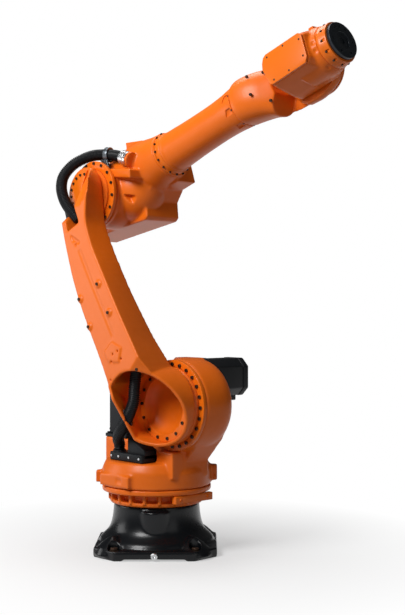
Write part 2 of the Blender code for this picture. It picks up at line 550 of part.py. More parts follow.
def build_forearm(frame):
    bore = 0.0600
    tube = [(bore, SEAM4), (0.0800, SEAM4), (0.0800, 0.3400), (TUBE_RADIUS, 0.3420),
            (0.0740, 0.4500), (0.0720, 0.6000), (0.0745, 0.6700), (TUBE_END_RADIUS, 0.7150),
            (TUBE_END_RADIUS, TUBE_END - GAP),
            (bore, TUBE_END - GAP)]
    solid("forearm_tube", lathe(tube, "X", segments=36), ORANGE, frame)

    body = solid("wrist_body", loft([oval(*station) for station in WRIST_STATIONS]), ORANGE, frame)
    centre = WRIST_REACH
    side_reach = ((0.150, 0.066), (0.168, 0.104), (0.185, 0.150))
    arc = [polar(SWING_RADIUS, 165 + 30 * step / 6) for step in range(7)]
    back = [(-x, z) for x, z in reversed(side_reach)] + arc + [(-x, -z) for x, z in side_reach]
    reach = [(centre + x, z) for x, z in back] + [(centre + 0.30, -0.30), (centre + 0.30, 0.30)]
    cut(body, solid("swing_room", prism(reach, -0.30, CHEEK_FACE, "Y")))
    for side in (1, -1):
        inner = [polar(0.1240, 100 + 66 * step / 6) for step in range(7)]
        outline = [(-0.185, 0.150), (-0.168, 0.104), (-0.150, 0.066), polar(SWING_RADIUS, 165)] + inner[::-1]
        notch = [(centre + x, side * z) for x, z in outline + [(-0.020, 0.180)]]
        cut(body, solid("nose_room", prism(notch, -0.30, NOSE_ROOM_DEPTH, "Y")))
    cut(body, solid("far_face", box((0.50, 0.1050, -0.30), (1.30, 0.30, 0.30))))
    cut(body, solid("shaft_bore", disc(0.0450, 0.60, 0.865, "X", segments=24)))

    cover = solid("wrist_side_cover", disc(0.088, 0.1053, 0.1130, "Y", (centre, 0, 0), 28), ORANGE, frame)
    add(cover, *bolt_heads(8, 0.079, 0.0045, 0.1115, 0.1165, "Y", (centre, 0, 0)))
    solid("axis5_gear_unit", disc(0.0740, 0.0060, CHEEK_FACE - GAP, "Y", (centre, 0, 0), 28), STEEL, frame)


def build_drive_shafts(outer_frame, inner_frame):
    tube = [(0.0260, 0.2450), (0.0340, 0.2450), (0.0340, 0.8300), (0.0400, 0.8320), (0.0400, 0.8450), (0.0260, 0.8450)]
    solid("axis5_drive_tube", lathe(tube, "X", segments=20), STEEL, outer_frame)
    rod = [(0, 0.2430), (0.0200, 0.2430), (0.0200, 0.8480), (0.0240, 0.8480), (0.0240, 0.8560), (0, 0.8560)]
    solid("axis6_drive_shaft", lathe(rod, "X", segments=16), STEEL, inner_frame)


HOUSING_OUTLINE = ((-0.078, 0.053), (-0.093, 0.015), (-0.075, -0.045), (-0.060, -0.054), (0.095, -0.054),
                   (0.107, -0.036), (0.107, 0.046), (0.094, 0.058), (-0.064, 0.060))


def swell(outline, factor_x, factor_z, depth):
    return [(x * factor_x, depth, z * factor_z) for x, z in outline]


def build_wrist_housing(frame):
    sections = [swell(HOUSING_OUTLINE, 1.0, 1.0, -0.1015), swell(HOUSING_OUTLINE, 1.08, 1.22, -0.060),
                swell(HOUSING_OUTLINE, 1.12, 1.50, 0.000), swell(HOUSING_OUTLINE, 1.10, 1.62, 0.0405)]
    housing = solid("wrist_housing", loft(sections), ORANGE, frame)
    nose = [(0, 0.020), (0.088, 0.020), (0.088, 0.105), (0.079, 0.1345), (0, 0.1345)]
    add(housing, solid("nose", lathe(nose, "X", segments=30)))
    cut(housing, solid("far_face", box((-0.3, 0.0405, -0.3), (0.1250, 0.3, 0.3))))
    cut(housing, solid("gear_pocket", disc(0.0753, 0.0055, 0.200, "Y", segments=28)))
    add(housing, solid("tab", box((0.070, -0.016, 0.080), (0.092, 0.016, 0.104), 0.003)))

    plate = prism([(x * 0.985, z * 0.985) for x, z in HOUSING_OUTLINE], -0.1100, -0.1018, "Y")
    cover = solid("wrist_hex_cover", plate, ORANGE, frame)
    for place in ((0.088, 0.036), (0.088, -0.012)):
        add(cover, solid("head", disc(0.0042, -0.1125, -0.1090, "Y", (place[0], 0, place[1]), 8)))

    nose_ring = [(0.0400, 0.1348), (0.0785, 0.1348), (0.0770, 0.1500), (0.0740, 0.1720), (0.0400, 0.1720)]
    collar = solid("wrist_nose_ring", lathe(nose_ring, "X", segments=30), ORANGE, frame)
    for i in range(12):
        pocket = around(disc(0.0048, 0.150, 0.166, "X", (0, 0, 0.0765), 6), 30 * i, "X")
        cut(collar, solid("pocket", pocket))


def build_flange(frame):
    face = FLANGE_REACH
    profile = [(0, 0.1723), (FLANGE_RADIUS, 0.1723), (FLANGE_RADIUS, face - 0.002), (FLANGE_RADIUS - 0.002, face),
               (0.0315, face), (0.0315, face - 0.006), (0, face - 0.006)]
    flange = solid("tool_flange", lathe(profile, "X", segments=30), BLACK_FLANGE, frame)
    for i in range(6):
        hole = around(disc(0.0042, face - 0.009, face + 0.01, "X", (0, 0, 0.050), 6), 30 + 60 * i, "X")
        cut(flange, solid("hole", hole))


# ---------------------------------------------------------------- assembly
UPPER_HOSE = ((-0.064, -0.118, 1.5256), (-0.107, -0.1185, 1.537), (-0.150, -0.121, 1.5435), (-0.185, -0.133, 1.546),
              (-0.215, -0.150, 1.544), (-0.247, -0.174, 1.531),
              (-0.270, -0.207, 1.506), (-0.287, -0.238, 1.463), (-0.283, -0.252, 1.417), (-0.264, -0.255, 1.372),
              (-0.236, -0.252, 1.334), (-0.211, -0.245, 1.308), (-0.190, -0.236, 1.284))
LOWER_HOSE = ((0.122, -0.205, 0.715), (0.112, -0.205, 0.650), (0.105, -0.205, 0.592), (0.080, -0.207, 0.540),
              (0.040, -0.203, 0.492), (-0.012, -0.182, 0.456), (-0.045, -0.156, 0.434), (-0.0570, -0.1405, 0.4160),
              (-0.0570, -0.1405, 0.3985))


def main():
    clear_scene()
    base_axis = empty("base_yaw", None, (0, 0, 0), turn_z=BASE_YAW)
    column_axis = empty("axis1", None, (0, 0, 0))
    link_axis = empty("axis2", column_axis, (AXIS2_FORWARD, 0, AXIS2_HEIGHT), turn_y=LINK_LEAN)
    arm_axis = empty("axis3", link_axis, (0, 0, LINK_LENGTH), turn_y=-FOREARM_RISE - LINK_LEAN)
    forearm_axis = empty("axis4", arm_axis, (0, 0, AXIS4_OFFSET))
    wrist_axis = empty("axis5", forearm_axis, (WRIST_REACH, 0, 0))
    flange_axis = empty("axis6", wrist_axis, (0, 0, 0))

    build_base(base_axis)
    build_axis1_ring(None)
    build_column(column_axis)
    build_link_arm(link_axis)
    bpy.context.view_layer.update()
    to_arm = arm_axis.matrix_world.inverted()
    build_arm_housing(arm_axis, [to_arm @ Vector(point) for point in UPPER_HOSE])
    build_forearm(forearm_axis)
    build_drive_shafts(forearm_axis, forearm_axis)
    build_wrist_housing(wrist_axis)
    build_flange(flange_axis)

    hose("upper_hose", UPPER_HOSE, HOSE_RADIUS, RUBBER, None)
    hose("lower_hose", LOWER_HOSE, HOSE_RADIUS, RUBBER, None)


main()
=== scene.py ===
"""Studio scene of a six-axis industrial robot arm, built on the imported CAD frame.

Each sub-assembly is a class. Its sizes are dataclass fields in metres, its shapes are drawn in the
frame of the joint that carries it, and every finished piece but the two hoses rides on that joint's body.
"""

from __future__ import annotations

import json
import logging
import math
from dataclasses import dataclass
from enum import Enum
from typing import Iterable, Sequence

import bpy
from mathutils import Matrix, Vector

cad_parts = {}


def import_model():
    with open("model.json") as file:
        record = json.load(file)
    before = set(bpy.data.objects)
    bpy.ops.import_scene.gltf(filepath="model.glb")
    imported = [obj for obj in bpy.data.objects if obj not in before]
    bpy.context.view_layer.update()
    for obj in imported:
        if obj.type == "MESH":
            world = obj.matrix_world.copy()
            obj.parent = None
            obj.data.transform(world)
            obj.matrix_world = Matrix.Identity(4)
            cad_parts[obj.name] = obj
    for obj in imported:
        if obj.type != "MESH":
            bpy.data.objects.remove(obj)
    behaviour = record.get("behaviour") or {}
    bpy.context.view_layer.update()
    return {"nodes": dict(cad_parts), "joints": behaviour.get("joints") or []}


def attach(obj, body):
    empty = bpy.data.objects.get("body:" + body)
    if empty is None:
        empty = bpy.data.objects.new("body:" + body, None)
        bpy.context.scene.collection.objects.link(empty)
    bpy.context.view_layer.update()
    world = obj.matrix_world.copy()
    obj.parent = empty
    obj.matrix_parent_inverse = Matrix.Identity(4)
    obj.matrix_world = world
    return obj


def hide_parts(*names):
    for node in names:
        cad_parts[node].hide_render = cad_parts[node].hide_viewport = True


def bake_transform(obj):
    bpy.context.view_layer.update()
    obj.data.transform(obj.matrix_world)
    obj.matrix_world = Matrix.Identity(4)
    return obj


log = logging.getLogger("robot_arm")

BASE_TURN = 47.0
DUST_COLOUR = (0.42, 0.38, 0.33)
CAD_GEAR_UNITS_IN_VIEW = ("axis2_gear_unit", "axis3_gear_unit")
CAD_INNER_NODES = ("axis1_gear_unit", "axis2_gear_unit", "axis3_gear_unit", "axis5_gear_unit",
                   "axis5_drive_tube", "axis6_drive_shaft")

Flat = tuple[float, float]
Triple = tuple[float, float, float]


class Along(Enum):
    """The axis that a profile is turned about, or an outline is pushed along."""

    X = Matrix(((0, 0, 1, 0), (1, 0, 0, 0), (0, 1, 0, 0), (0, 0, 0, 1)))
    Y = Matrix(((1, 0, 0, 0), (0, 0, 1, 0), (0, 1, 0, 0), (0, 0, 0, 1)))
    Z = Matrix.Identity(4)


# ------------------------------------------------------------------------------------ bench work
def select_only(piece: bpy.types.Object) -> None:
    """Select one piece and make it active."""
    bpy.ops.object.select_all(action="DESELECT")
    piece.select_set(True)
    bpy.context.view_layer.objects.active = piece


def face_outwards(piece: bpy.types.Object, merge: float = 1e-6) -> bpy.types.Object:
    """Merge doubles and point every face outwards.

    Args:
        piece: the mesh to clean.
        merge: the distance under which two corners are one.

    Returns:
        The same piece.
    """
    select_only(piece)
    bpy.ops.object.mode_set(mode="EDIT")
    bpy.ops.mesh.select_all(action="SELECT")
    bpy.ops.mesh.remove_doubles(threshold=merge)
    bpy.ops.mesh.normals_make_consistent(inside=False)
    bpy.ops.object.mode_set(mode="OBJECT")
    return piece


def place(piece: bpy.types.Object, matrix: Matrix) -> bpy.types.Object:
    """Put a piece's shape through a matrix, keeping its faces outwards and its object at the origin."""
    piece.data.transform(matrix)
    if matrix.is_negative:
        piece.data.flip_normals()
    piece.data.update()
    return piece


def apply_modifier(piece: bpy.types.Object, kind: str, **settings: object) -> bpy.types.Object:
    """Add a modifier with these settings and apply it.

    Args:
        piece: the mesh it changes.
        kind: the modifier's type.
        settings: its properties by name.

    Returns:
        The same piece.
    """
    select_only(piece)
    modifier = piece.modifiers.new(kind.lower(), kind)
    for name, value in settings.items():
        setattr(modifier, name, value)
    bpy.ops.object.modifier_apply(modifier=modifier.name)
    return piece


def joined(name: str, parts: Sequence[bpy.types.Object]) -> bpy.types.Object:
    """Make several meshes one piece.

    Args:
        name: the piece's name.
        parts: the meshes, which are used up.

    Returns:
        The joined piece.
    """
    bpy.ops.object.select_all(action="DESELECT")
    for part in parts:
        part.select_set(True)
    bpy.context.view_layer.objects.active = parts[0]
    if len(parts) > 1:
        bpy.ops.object.join()
    parts[0].name = name
    return parts[0]


def extruded(name: str, sections: Sequence[Sequence[Triple]]) -> bpy.types.Object:
    """Extrude a filled outline from section to section.

    Args:
        name: the piece's name.
        sections: outlines with the same number of corners, in order.

    Returns:
        A closed piece.
    """
    bpy.ops.object.select_all(action="DESELECT")
    bpy.ops.mesh.primitive_circle_add(vertices=len(sections[0]), radius=1.0, fill_type="NGON")
    piece = bpy.context.active_object
    piece.name = name
    ring = list(piece.data.vertices)
    for corner, spot in zip(ring, sections[0]):
        corner.co = spot
    for before, after in zip(sections, sections[1:]):
        bpy.ops.object.mode_set(mode="EDIT")
        bpy.ops.mesh.extrude_region_move(TRANSFORM_OT_translate={"value": (0, 0, 0)})
        bpy.ops.object.mode_set(mode="OBJECT")
        fresh = [corner for corner in piece.data.vertices if corner.select]
        for corner in fresh:
            nearest = min(range(len(before)), key=lambda i: (Vector(before[i]) - corner.co).length_squared)
            corner.co = after[nearest]
    return face_outwards(piece)


def prism(name: str, outline: Sequence[Flat], start: float, end: float,
          along: Along = Along.Z) -> bpy.types.Object:
    """Push a flat outline from start to end along an axis.

    Args:
        name: the piece's name.
        outline: corners in the two other axes, in X, Y, Z order.
        start: where it begins.
        end: where it ends.
        along: the axis it is pushed along.

    Returns:
        A closed piece.
    """
    bpy.ops.object.select_all(action="DESELECT")
    bpy.ops.mesh.primitive_circle_add(vertices=len(outline), radius=1.0, fill_type="NGON")
    piece = bpy.context.active_object
    piece.name = name
    for corner, (a, b) in zip(piece.data.vertices, outline):
        corner.co = (a, b, start)
    bpy.ops.object.mode_set(mode="EDIT")
    bpy.ops.mesh.select_all(action="SELECT")
    bpy.ops.mesh.extrude_region_move(TRANSFORM_OT_translate={"value": (0, 0, end - start)})
    bpy.ops.object.mode_set(mode="OBJECT")
    place(piece, along.value)
    return face_outwards(piece)


def turned(name: str, profile: Sequence[Flat], along: Along = Along.Z, centre: Triple = (0, 0, 0),
           segments: int = 96) -> bpy.types.Object:
    """Turn a profile about an axis, by extruding and scaling a round face.

    Args:
        name: the piece's name.
        profile: (radius, distance along the axis) pairs. A radius of 0 at an end closes it flat.
        along: the axis.
        centre: a point on the axis.
        segments: how many sides the turning has.

    Returns:
        A closed piece.
    """
    steps = [(radius, height) for radius, height in profile if radius > 1e-5]
    hollow = profile[0] == profile[-1] and profile[0][0] > 1e-5
    bpy.ops.object.select_all(action="DESELECT")
    bpy.ops.mesh.primitive_circle_add(vertices=segments, radius=steps[0][0], fill_type="NOTHING"
                                      if hollow else "NGON", location=(0, 0, steps[0][1]))
    piece = bpy.context.active_object
    piece.name = name
    bpy.ops.object.transform_apply(location=True, rotation=True, scale=True)
    bpy.ops.object.mode_set(mode="EDIT")
    bpy.ops.mesh.select_all(action="SELECT")
    for (r0, h0), (r1, h1) in zip(steps, steps[1:]):
        bpy.ops.mesh.extrude_region_move(TRANSFORM_OT_translate={"value": (0, 0, h1 - h0)})
        grow = r1 / r0
        bpy.ops.transform.resize(value=(grow, grow, 1), center_override=(0, 0, h1))
    bpy.ops.object.mode_set(mode="OBJECT")
    place(piece, Matrix.Translation(centre) @ along.value)
    return face_outwards(piece)


def disc(name: str, radius: float, start: float, end: float, along: Along = Along.Z,
         centre: Triple = (0, 0, 0), segments: int = 96) -> bpy.types.Object:
    """A turned slug of one radius, used as a rough or a cutter."""
    return turned(name, [(radius, start), (radius, end)], along, centre, segments)


def hoop(name: str, inner: float, outer: float, start: float, end: float, along: Along,
         centre: Triple = (0, 0, 0), segments: int = 96) -> bpy.types.Object:
    """A turned ring with a square section."""
    profile = [(inner, start), (outer, start), (outer, end), (inner, end), (inner, start)]
    return turned(name, profile, along, centre, segments)


def block(name: str, low: Triple, high: Triple) -> bpy.types.Object:
    """A squared block between two corners, to be bevelled or cast."""
    outline = [(low[0], low[1]), (high[0], low[1]), (high[0], high[1]), (low[0], high[1])]
    return prism(name, outline, low[2], high[2])


def clipped_square(half: float, leg: float, middle: Flat = (0.0, 0.0)) -> list[Flat]:
    """The outline of a square with cut corners."""
    a, b = half, half - leg
    outline = [(a, -b), (a, b), (b, a), (-b, a), (-a, b), (-a, -b), (-b, -a), (b, -a)]
    return [(x + middle[0], y + middle[1]) for x, y in outline]


def flowing(points: Sequence[Sequence[float]], steps: int = 4) -> list[tuple[float, ...]]:
    """Points on a smooth curve through the given ones.

    Args:
        points: the knots, each with any number of values.
        steps: how many points each gap gets.

    Returns:
        The denser row of points, ends included.
    """
    knots = [Vector(p) for p in points]
    padded = [2 * knots[0] - knots[1]] + knots + [2 * knots[-1] - knots[-2]]
    dense = []
    for before, start, end, after in zip(padded, padded[1:], padded[2:], padded[3:]):
        for step in range(steps):
            t = step / steps
            dense.append(tuple(0.5 * (2 * start + (end - before) * t
                                      + (2 * before - 5 * start + 4 * end - after) * t ** 2
                                      + (3 * start - before - 3 * end + after) * t ** 3)))
    dense.append(tuple(knots[-1]))
    return dense


def polar(radius: float, degrees: float) -> Flat:
    """A flat point at a radius and an angle."""
    return radius * math.cos(math.radians(degrees)), radius * math.sin(math.radians(degrees))


def cut_away(piece: bpy.types.Object, tool: bpy.types.Object) -> bpy.types.Object:
    """Take a closed shape, which is used up, out of a piece."""
    apply_modifier(piece, "BOOLEAN", operation="DIFFERENCE", solver="EXACT", object=tool)
    bpy.data.objects.remove(tool)
    return piece


def crisp(piece: bpy.types.Object, width: float = 0.0015, segments: int = 3,
          angle: float = 30.0) -> bpy.types.Object:
    """Break a machined piece's edges and smooth what is left.

    Args:
        piece: the mesh.
        width: the bevel's width.
        segments: the bevel's steps.
        angle: edges sharper than this, in degrees, are bevelled.

    Returns:
        The same piece.
    """
    apply_modifier(piece, "BEVEL", width=width, segments=segments, limit_method="ANGLE",
                   angle_limit=math.radians(angle), miter_outer="MITER_ARC", use_clamp_overlap=True)
    select_only(piece)
    bpy.ops.object.shade_smooth_by_angle(angle=math.radians(angle))
    return piece


def cast(name: str, cores: Sequence[bpy.types.Object], cutters: Sequence[bpy.types.Object] = (),
         grain: float = 0.004, relax: int = 6) -> bpy.types.Object:
    """Melt rough shapes into one casting with rounded edges and filleted corners.

    Args:
        name: the piece's name.
        cores: closed shapes to unite.
        cutters: closed shapes to take away.
        grain: the size of the casting's mesh.
        relax: how far edges are rounded.

    Returns:
        One smooth closed piece.
    """
    body = apply_modifier(joined(name, cores), "REMESH", mode="VOXEL", voxel_size=grain, adaptivity=0.0)
    if cutters:
        tool = apply_modifier(joined(name + "_cutter", cutters), "REMESH", mode="VOXEL", voxel_size=grain)
        cut_away(body, tool)
        apply_modifier(body, "REMESH", mode="VOXEL", voxel_size=grain, adaptivity=0.0)
    apply_modifier(body, "SMOOTH", factor=0.5, iterations=relax)
    select_only(body)
    bpy.ops.object.shade_smooth()
    return body


def cap_screw(radius: float, height: float, depth: float = 0.45, sides: int = 20) -> bpy.types.Object:
    """A socket-head cap screw's head, standing on Z = 0 and looking along +Z.

    Args:
        radius: the head's radius.
        height: the head's height.
        depth: the socket's depth as a share of the height.
        sides: how many sides the head has.

    Returns:
        The head, closed.
    """
    rim = radius * 0.14
    head = turned("head", [(radius, 0), (radius, height - rim), (radius - rim * 0.3, height - rim * 0.3),
                           (radius - rim, height), (radius * 0.62, height),
                           (radius * 0.50, height * (1 - depth)), (0, height * (1 - depth))],
                  segments=sides)
    select_only(head)
    bpy.ops.object.shade_smooth_by_angle(angle=math.radians(35))
    return head


def hex_bolt(radius: float, height: float, washer: float) -> bpy.types.Object:
    """A flanged hexagon bolt on a washer, standing on Z = 0 and looking along +Z."""
    plate = turned("washer", [(washer, 0), (washer, 0.003), (0, 0.003)], segments=40)
    flange = turned("flange", [(radius * 1.22, 0.003), (radius * 1.22, 0.0045), (radius, 0.0065),
                               (0, 0.0065)], segments=40)
    bolt = turned("hexagon", [(radius, 0.006), (radius, height - 0.0015), (radius * 0.88, height),
                              (0, height)], segments=6)
    return crisp(joined("bolt", [plate, flange, bolt]), 0.0006, 2)


def spread(piece: bpy.types.Object, spots: Iterable[Matrix]) -> list[bpy.types.Object]:
    """Copy a modelled piece to several places, each copy with its own mesh.

    Args:
        piece: the piece, which is used up.
        spots: one matrix per copy.

    Returns:
        The copies.
    """
    copies = []
    for spot in spots:
        copy = piece.copy()
        copy.data = piece.data.copy()
        bpy.context.scene.collection.objects.link(copy)
        copies.append(place(copy, spot))
    bpy.data.objects.remove(piece)
    return copies


def on_circle(count: int, radius: float, height: float, along: Along, centre: Triple = (0, 0, 0),
              phase: float = 0.0, outwards: float = 1.0) -> list[Matrix]:
    """Places for screws on a circle, standing along an axis.

    Args:
        count: how many.
        radius: the circle's radius.
        height: where the heads stand, along the axis.
        along: the axis.
        centre: a point on the axis.
        phase: the first one's angle in degrees.
        outwards: 1 if the heads look along the axis, -1 if against it.

    Returns:
        One matrix per screw.
    """
    flip = Matrix.Identity(4) if outwards > 0 else Matrix.Rotation(math.pi, 4, "X")
    spots = []
    for number in range(count):
        a, b = polar(radius, phase + 360 * number / count)
        spots.append(Matrix.Translation(centre) @ along.value @ Matrix.Translation((a, b, height)) @ flip)
    return spots


def rotated(degrees: float, axis: str) -> Matrix:
    """A turn about one of the main axes."""
    return Matrix.Rotation(math.radians(degrees), 4, axis)


def pointing(spot: Vector, direction: Vector) -> Matrix:
    """A frame at a spot, with X along a direction."""
    return Matrix.Translation(spot) @ direction.to_track_quat("X", "Z").to_matrix().to_4x4()


def facing(point: Triple, direction: Triple) -> Matrix:
    """A place for a screw at a point, with its head looking in a direction."""
    turn = Vector(direction).to_track_quat("Z", "Y").to_matrix().to_4x4()
    return Matrix.Translation(point) @ turn


# ------------------------------------------------------------------------------------ finishes
def new_group(name: str, inputs: Sequence[tuple[str, str, object]],
              outputs: Sequence[tuple[str, str]]) -> bpy.types.NodeTree:
    """Start a shader node group with named sockets.

    Args:
        name: the group's name.
        inputs: (name, socket type, default) for each input.
        outputs: (name, socket type) for each output.

    Returns:
        The group, with its input and output nodes named "in" and "out".
    """
    group = bpy.data.node_groups.new(name, "ShaderNodeTree")
    for label, kind, default in inputs:
        socket = group.interface.new_socket(label, in_out="INPUT", socket_type=kind)
        if default is not None:
            socket.default_value = default
    for label, kind in outputs:
        group.interface.new_socket(label, in_out="OUTPUT", socket_type=kind)
    group.nodes.new("NodeGroupInput").name = "in"
    group.nodes.new("NodeGroupOutput").name = "out"
    return group


def add_node(tree: bpy.types.NodeTree, kind: str, links: dict[str, object] | None = None,
             **settings: object) -> bpy.types.Node:
    """Add a node, set its properties, and link or fill its sockets.

    Args:
        tree: the node tree.
        kind: the node's class name.
        links: socket name or number to an output socket or a value.
        settings: node properties by name.

    Returns:
        The node.
    """
    node = tree.nodes.new(kind)
    for name, value in settings.items():
        setattr(node, name, value)
    for key, value in (links or {}).items():
        socket = node.inputs[key]
        if isinstance(value, bpy.types.NodeSocket):
            tree.links.new(value, socket)
        else:
            socket.default_value = value
    return node


def orange_peel_group() -> bpy.types.NodeTree:
    """Paint or cast texture: a fine height and a slow tone from a position."""
    group = new_group("paint_texture",
                      [("Position", "NodeSocketVector", None), ("Fine Scale", "NodeSocketFloat", 220.0),
                       ("Broad Scale", "NodeSocketFloat", 5.0)],
                      [("Height", "NodeSocketFloat"), ("Tone", "NodeSocketFloat")])
    source, sink = group.nodes["in"], group.nodes["out"]
    fine = add_node(group, "ShaderNodeTexNoise", {"Vector": source.outputs[0], "Scale": source.outputs[1],
                                                  "Detail": 3.0})
    broad = add_node(group, "ShaderNodeTexNoise", {"Vector": source.outputs[0], "Scale": source.outputs[2],
                                                   "Detail": 4.0})
    group.links.new(fine.outputs[0], sink.inputs[0])
    group.links.new(broad.outputs[0], sink.inputs[1])
    return group


def edge_wear_group() -> bpy.types.NodeTree:
    """A mask along worn edges, from a curvature value and a broken-up noise."""
    group = new_group("edge_wear",
                      [("Position", "NodeSocketVector", None), ("Curvature", "NodeSocketFloat", 0.5),
                       ("Start", "NodeSocketFloat", 0.54)],
                      [("Mask", "NodeSocketFloat")])
    source, sink = group.nodes["in"], group.nodes["out"]
    noise = add_node(group, "ShaderNodeTexNoise", {"Vector": source.outputs[0], "Scale": 40.0,
                                                   "Detail": 5.0})
    jitter = add_node(group, "ShaderNodeMath", {0: noise.outputs[0], 1: 0.12, 2: source.outputs[1]},
                      operation="MULTIPLY_ADD")
    above = add_node(group, "ShaderNodeMath", {0: jitter.outputs[0], 1: source.outputs[2]},
                     operation="SUBTRACT")
    mask = add_node(group, "ShaderNodeMath", {0: above.outputs[0], 1: 9.0}, operation="MULTIPLY",
                    use_clamp=True)
    group.links.new(mask.outputs[0], sink.inputs[0])
    return group


def dust_group() -> bpy.types.NodeTree:
    """A thin mask of dust on surfaces that look up."""
    group = new_group("settled_dust",
                      [("Position", "NodeSocketVector", None), ("Upward", "NodeSocketFloat", 0.0),
                       ("Amount", "NodeSocketFloat", 0.1)],
                      [("Mask", "NodeSocketFloat")])
    source, sink = group.nodes["in"], group.nodes["out"]
    noise = add_node(group, "ShaderNodeTexNoise", {"Vector": source.outputs[0], "Scale": 14.0,
                                                   "Detail": 6.0})
    up = add_node(group, "ShaderNodeMath", {0: source.outputs[1], 1: 0.35}, operation="SUBTRACT",
                  use_clamp=True)
    patch = add_node(group, "ShaderNodeMath", {0: up.outputs[0], 1: noise.outputs[0]}, operation="MULTIPLY")
    mask = add_node(group, "ShaderNodeMath", {0: patch.outputs[0], 1: source.outputs[2]},
                    operation="MULTIPLY", use_clamp=True)
    group.links.new(mask.outputs[0], sink.inputs[0])
    return group


@dataclass(frozen=True)
class Finish:
    """One finish: its base colour in linear light, how it varies, and how it shines."""

    name: str
    slot: str
    colour: Triple
    shade: Triple
    roughness: float
    metallic: float = 0.0
    coat: float = 0.0
    coat_roughness: float = 0.08
    specular: float = 0.35
    peel: float = 0.00004
    fine_scale: float = 220.0
    broad_scale: float = 5.0
    wear: float = 0.0
    dust: float = 0.10

    def material(self) -> bpy.types.Material:
        """Build the node material, or return it if it is there already."""
        if self.name in bpy.data.materials:
            return bpy.data.materials[self.name]
        made = bpy.data.materials.new(self.name)
        made.use_nodes = True
        made.diffuse_color = (*self.colour, 1.0)
        tree = made.node_tree
        shader = tree.nodes["Principled BSDF"]
        where = add_node(tree, "ShaderNodeTexCoord").outputs["Object"]
        geometry = add_node(tree, "ShaderNodeNewGeometry")
        texture = add_node(tree, "ShaderNodeGroup", node_tree=GROUPS["texture"])
        tree.links.new(where, texture.inputs["Position"])
        texture.inputs["Fine Scale"].default_value = self.fine_scale
        texture.inputs["Broad Scale"].default_value = self.broad_scale
        colour = self.blend(tree, texture.outputs["Tone"], self.colour, self.shade)
        if self.wear > 0:
            wear = add_node(tree, "ShaderNodeGroup", node_tree=GROUPS["wear"])
            tree.links.new(where, wear.inputs["Position"])
            tree.links.new(geometry.outputs["Pointiness"], wear.inputs["Curvature"])
            amount = add_node(tree, "ShaderNodeMath", {0: wear.outputs[0], 1: self.wear},
                              operation="MULTIPLY")
            lighter = tuple(min(1.0, c * 1.25 + 0.05) for c in self.colour)
            colour = self.blend(tree, amount.outputs[0], colour, lighter)
        split = add_node(tree, "ShaderNodeSeparateXYZ", {0: geometry.outputs["Normal"]})
        dust = add_node(tree, "ShaderNodeGroup", node_tree=GROUPS["dust"])
        tree.links.new(where, dust.inputs["Position"])
        tree.links.new(split.outputs[2], dust.inputs["Upward"])
        dust.inputs["Amount"].default_value = self.dust
        colour = self.blend(tree, dust.outputs[0], colour, DUST_COLOUR)
        tree.links.new(colour, shader.inputs["Base Color"])
        rough = add_node(tree, "ShaderNodeMapRange", {"Value": texture.outputs["Tone"],
                                                      "To Min": self.roughness - 0.05,
                                                      "To Max": self.roughness + 0.07})
        dusty = add_node(tree, "ShaderNodeMath", {0: dust.outputs[0], 1: 0.5, 2: rough.outputs[0]},
                         operation="MULTIPLY_ADD")
        tree.links.new(dusty.outputs[0], shader.inputs["Roughness"])
        bump = add_node(tree, "ShaderNodeBump", {"Strength": 1.0, "Distance": self.peel,
                                                 "Height": texture.outputs["Height"]})
        tree.links.new(bump.outputs[0], shader.inputs["Normal"])
        shader.inputs["Metallic"].default_value = self.metallic
        shader.inputs["Specular IOR Level"].default_value = self.specular
        shader.inputs["Coat Weight"].default_value = self.coat
        shader.inputs["Coat Roughness"].default_value = self.coat_roughness
        return made

    @staticmethod
    def blend(tree: bpy.types.NodeTree, factor: bpy.types.NodeSocket, first: object,
              second: object) -> bpy.types.NodeSocket:
        """Mix two colours, each a socket or a triple, and return the result's socket."""
        node = tree.nodes.new("ShaderNodeMix")
        node.data_type = "RGBA"
        tree.links.new(factor, node.inputs[0])
        for number, value in ((6, first), (7, second)):
            if isinstance(value, bpy.types.NodeSocket):
                tree.links.new(value, node.inputs[number])
            else:
                node.inputs[number].default_value = (*value, 1.0)
        return node.outputs[2]


GROUPS: dict[str, bpy.types.NodeTree] = {}

CAST_ORANGE = Finish("orange_cast_paint", "orange_paint", (0.80, 0.150, 0.0035), (0.75, 0.132, 0.0028),
                     0.42, coat=0.12, coat_roughness=0.22, specular=0.22, peel=0.00006, fine_scale=260.0,
                     wear=0.20, dust=0.015)
COVER_ORANGE = Finish("orange_cover_paint", "orange_paint", (0.82, 0.162, 0.0045), (0.78, 0.146, 0.0038),
                      0.38, coat=0.15, coat_roughness=0.18, specular=0.22, peel=0.00003, fine_scale=300.0,
                      dust=0.012)
GLOSS_BLACK = Finish("black_gloss_paint", "black_paint", (0.0022, 0.0030, 0.0043),
                     (0.0040, 0.0049, 0.0063), 0.27, coat=0.06, coat_roughness=0.12, specular=0.28,
                     peel=0.00012, fine_scale=120.0, dust=0.006)
MOTOR_BLACK = Finish("satin_motor_black", "black_motor_paint", (0.0042, 0.0052, 0.0068),
                     (0.0064, 0.0074, 0.0090), 0.48, specular=0.20, peel=0.00010, fine_scale=420.0,
                     dust=0.008)
HOSE_BLACK = Finish("black_hose_plastic", "black_hose_rubber", (0.0040, 0.0047, 0.0056),
                    (0.0070, 0.0076, 0.0088), 0.42, specular=0.16, peel=0.00003, fine_scale=500.0,
                    broad_scale=20.0, dust=0.010)
MACHINED = Finish("machined_steel", "steel", (0.56, 0.58, 0.60), (0.46, 0.48, 0.50), 0.30, metallic=1.0,
                  peel=0.00002, fine_scale=700.0, broad_scale=30.0, dust=0.05)
ZINC = Finish("bright_zinc", "steel", (0.72, 0.73, 0.74), (0.58, 0.59, 0.60), 0.28, metallic=1.0,
              peel=0.00003, fine_scale=300.0, broad_scale=40.0, dust=0.04)
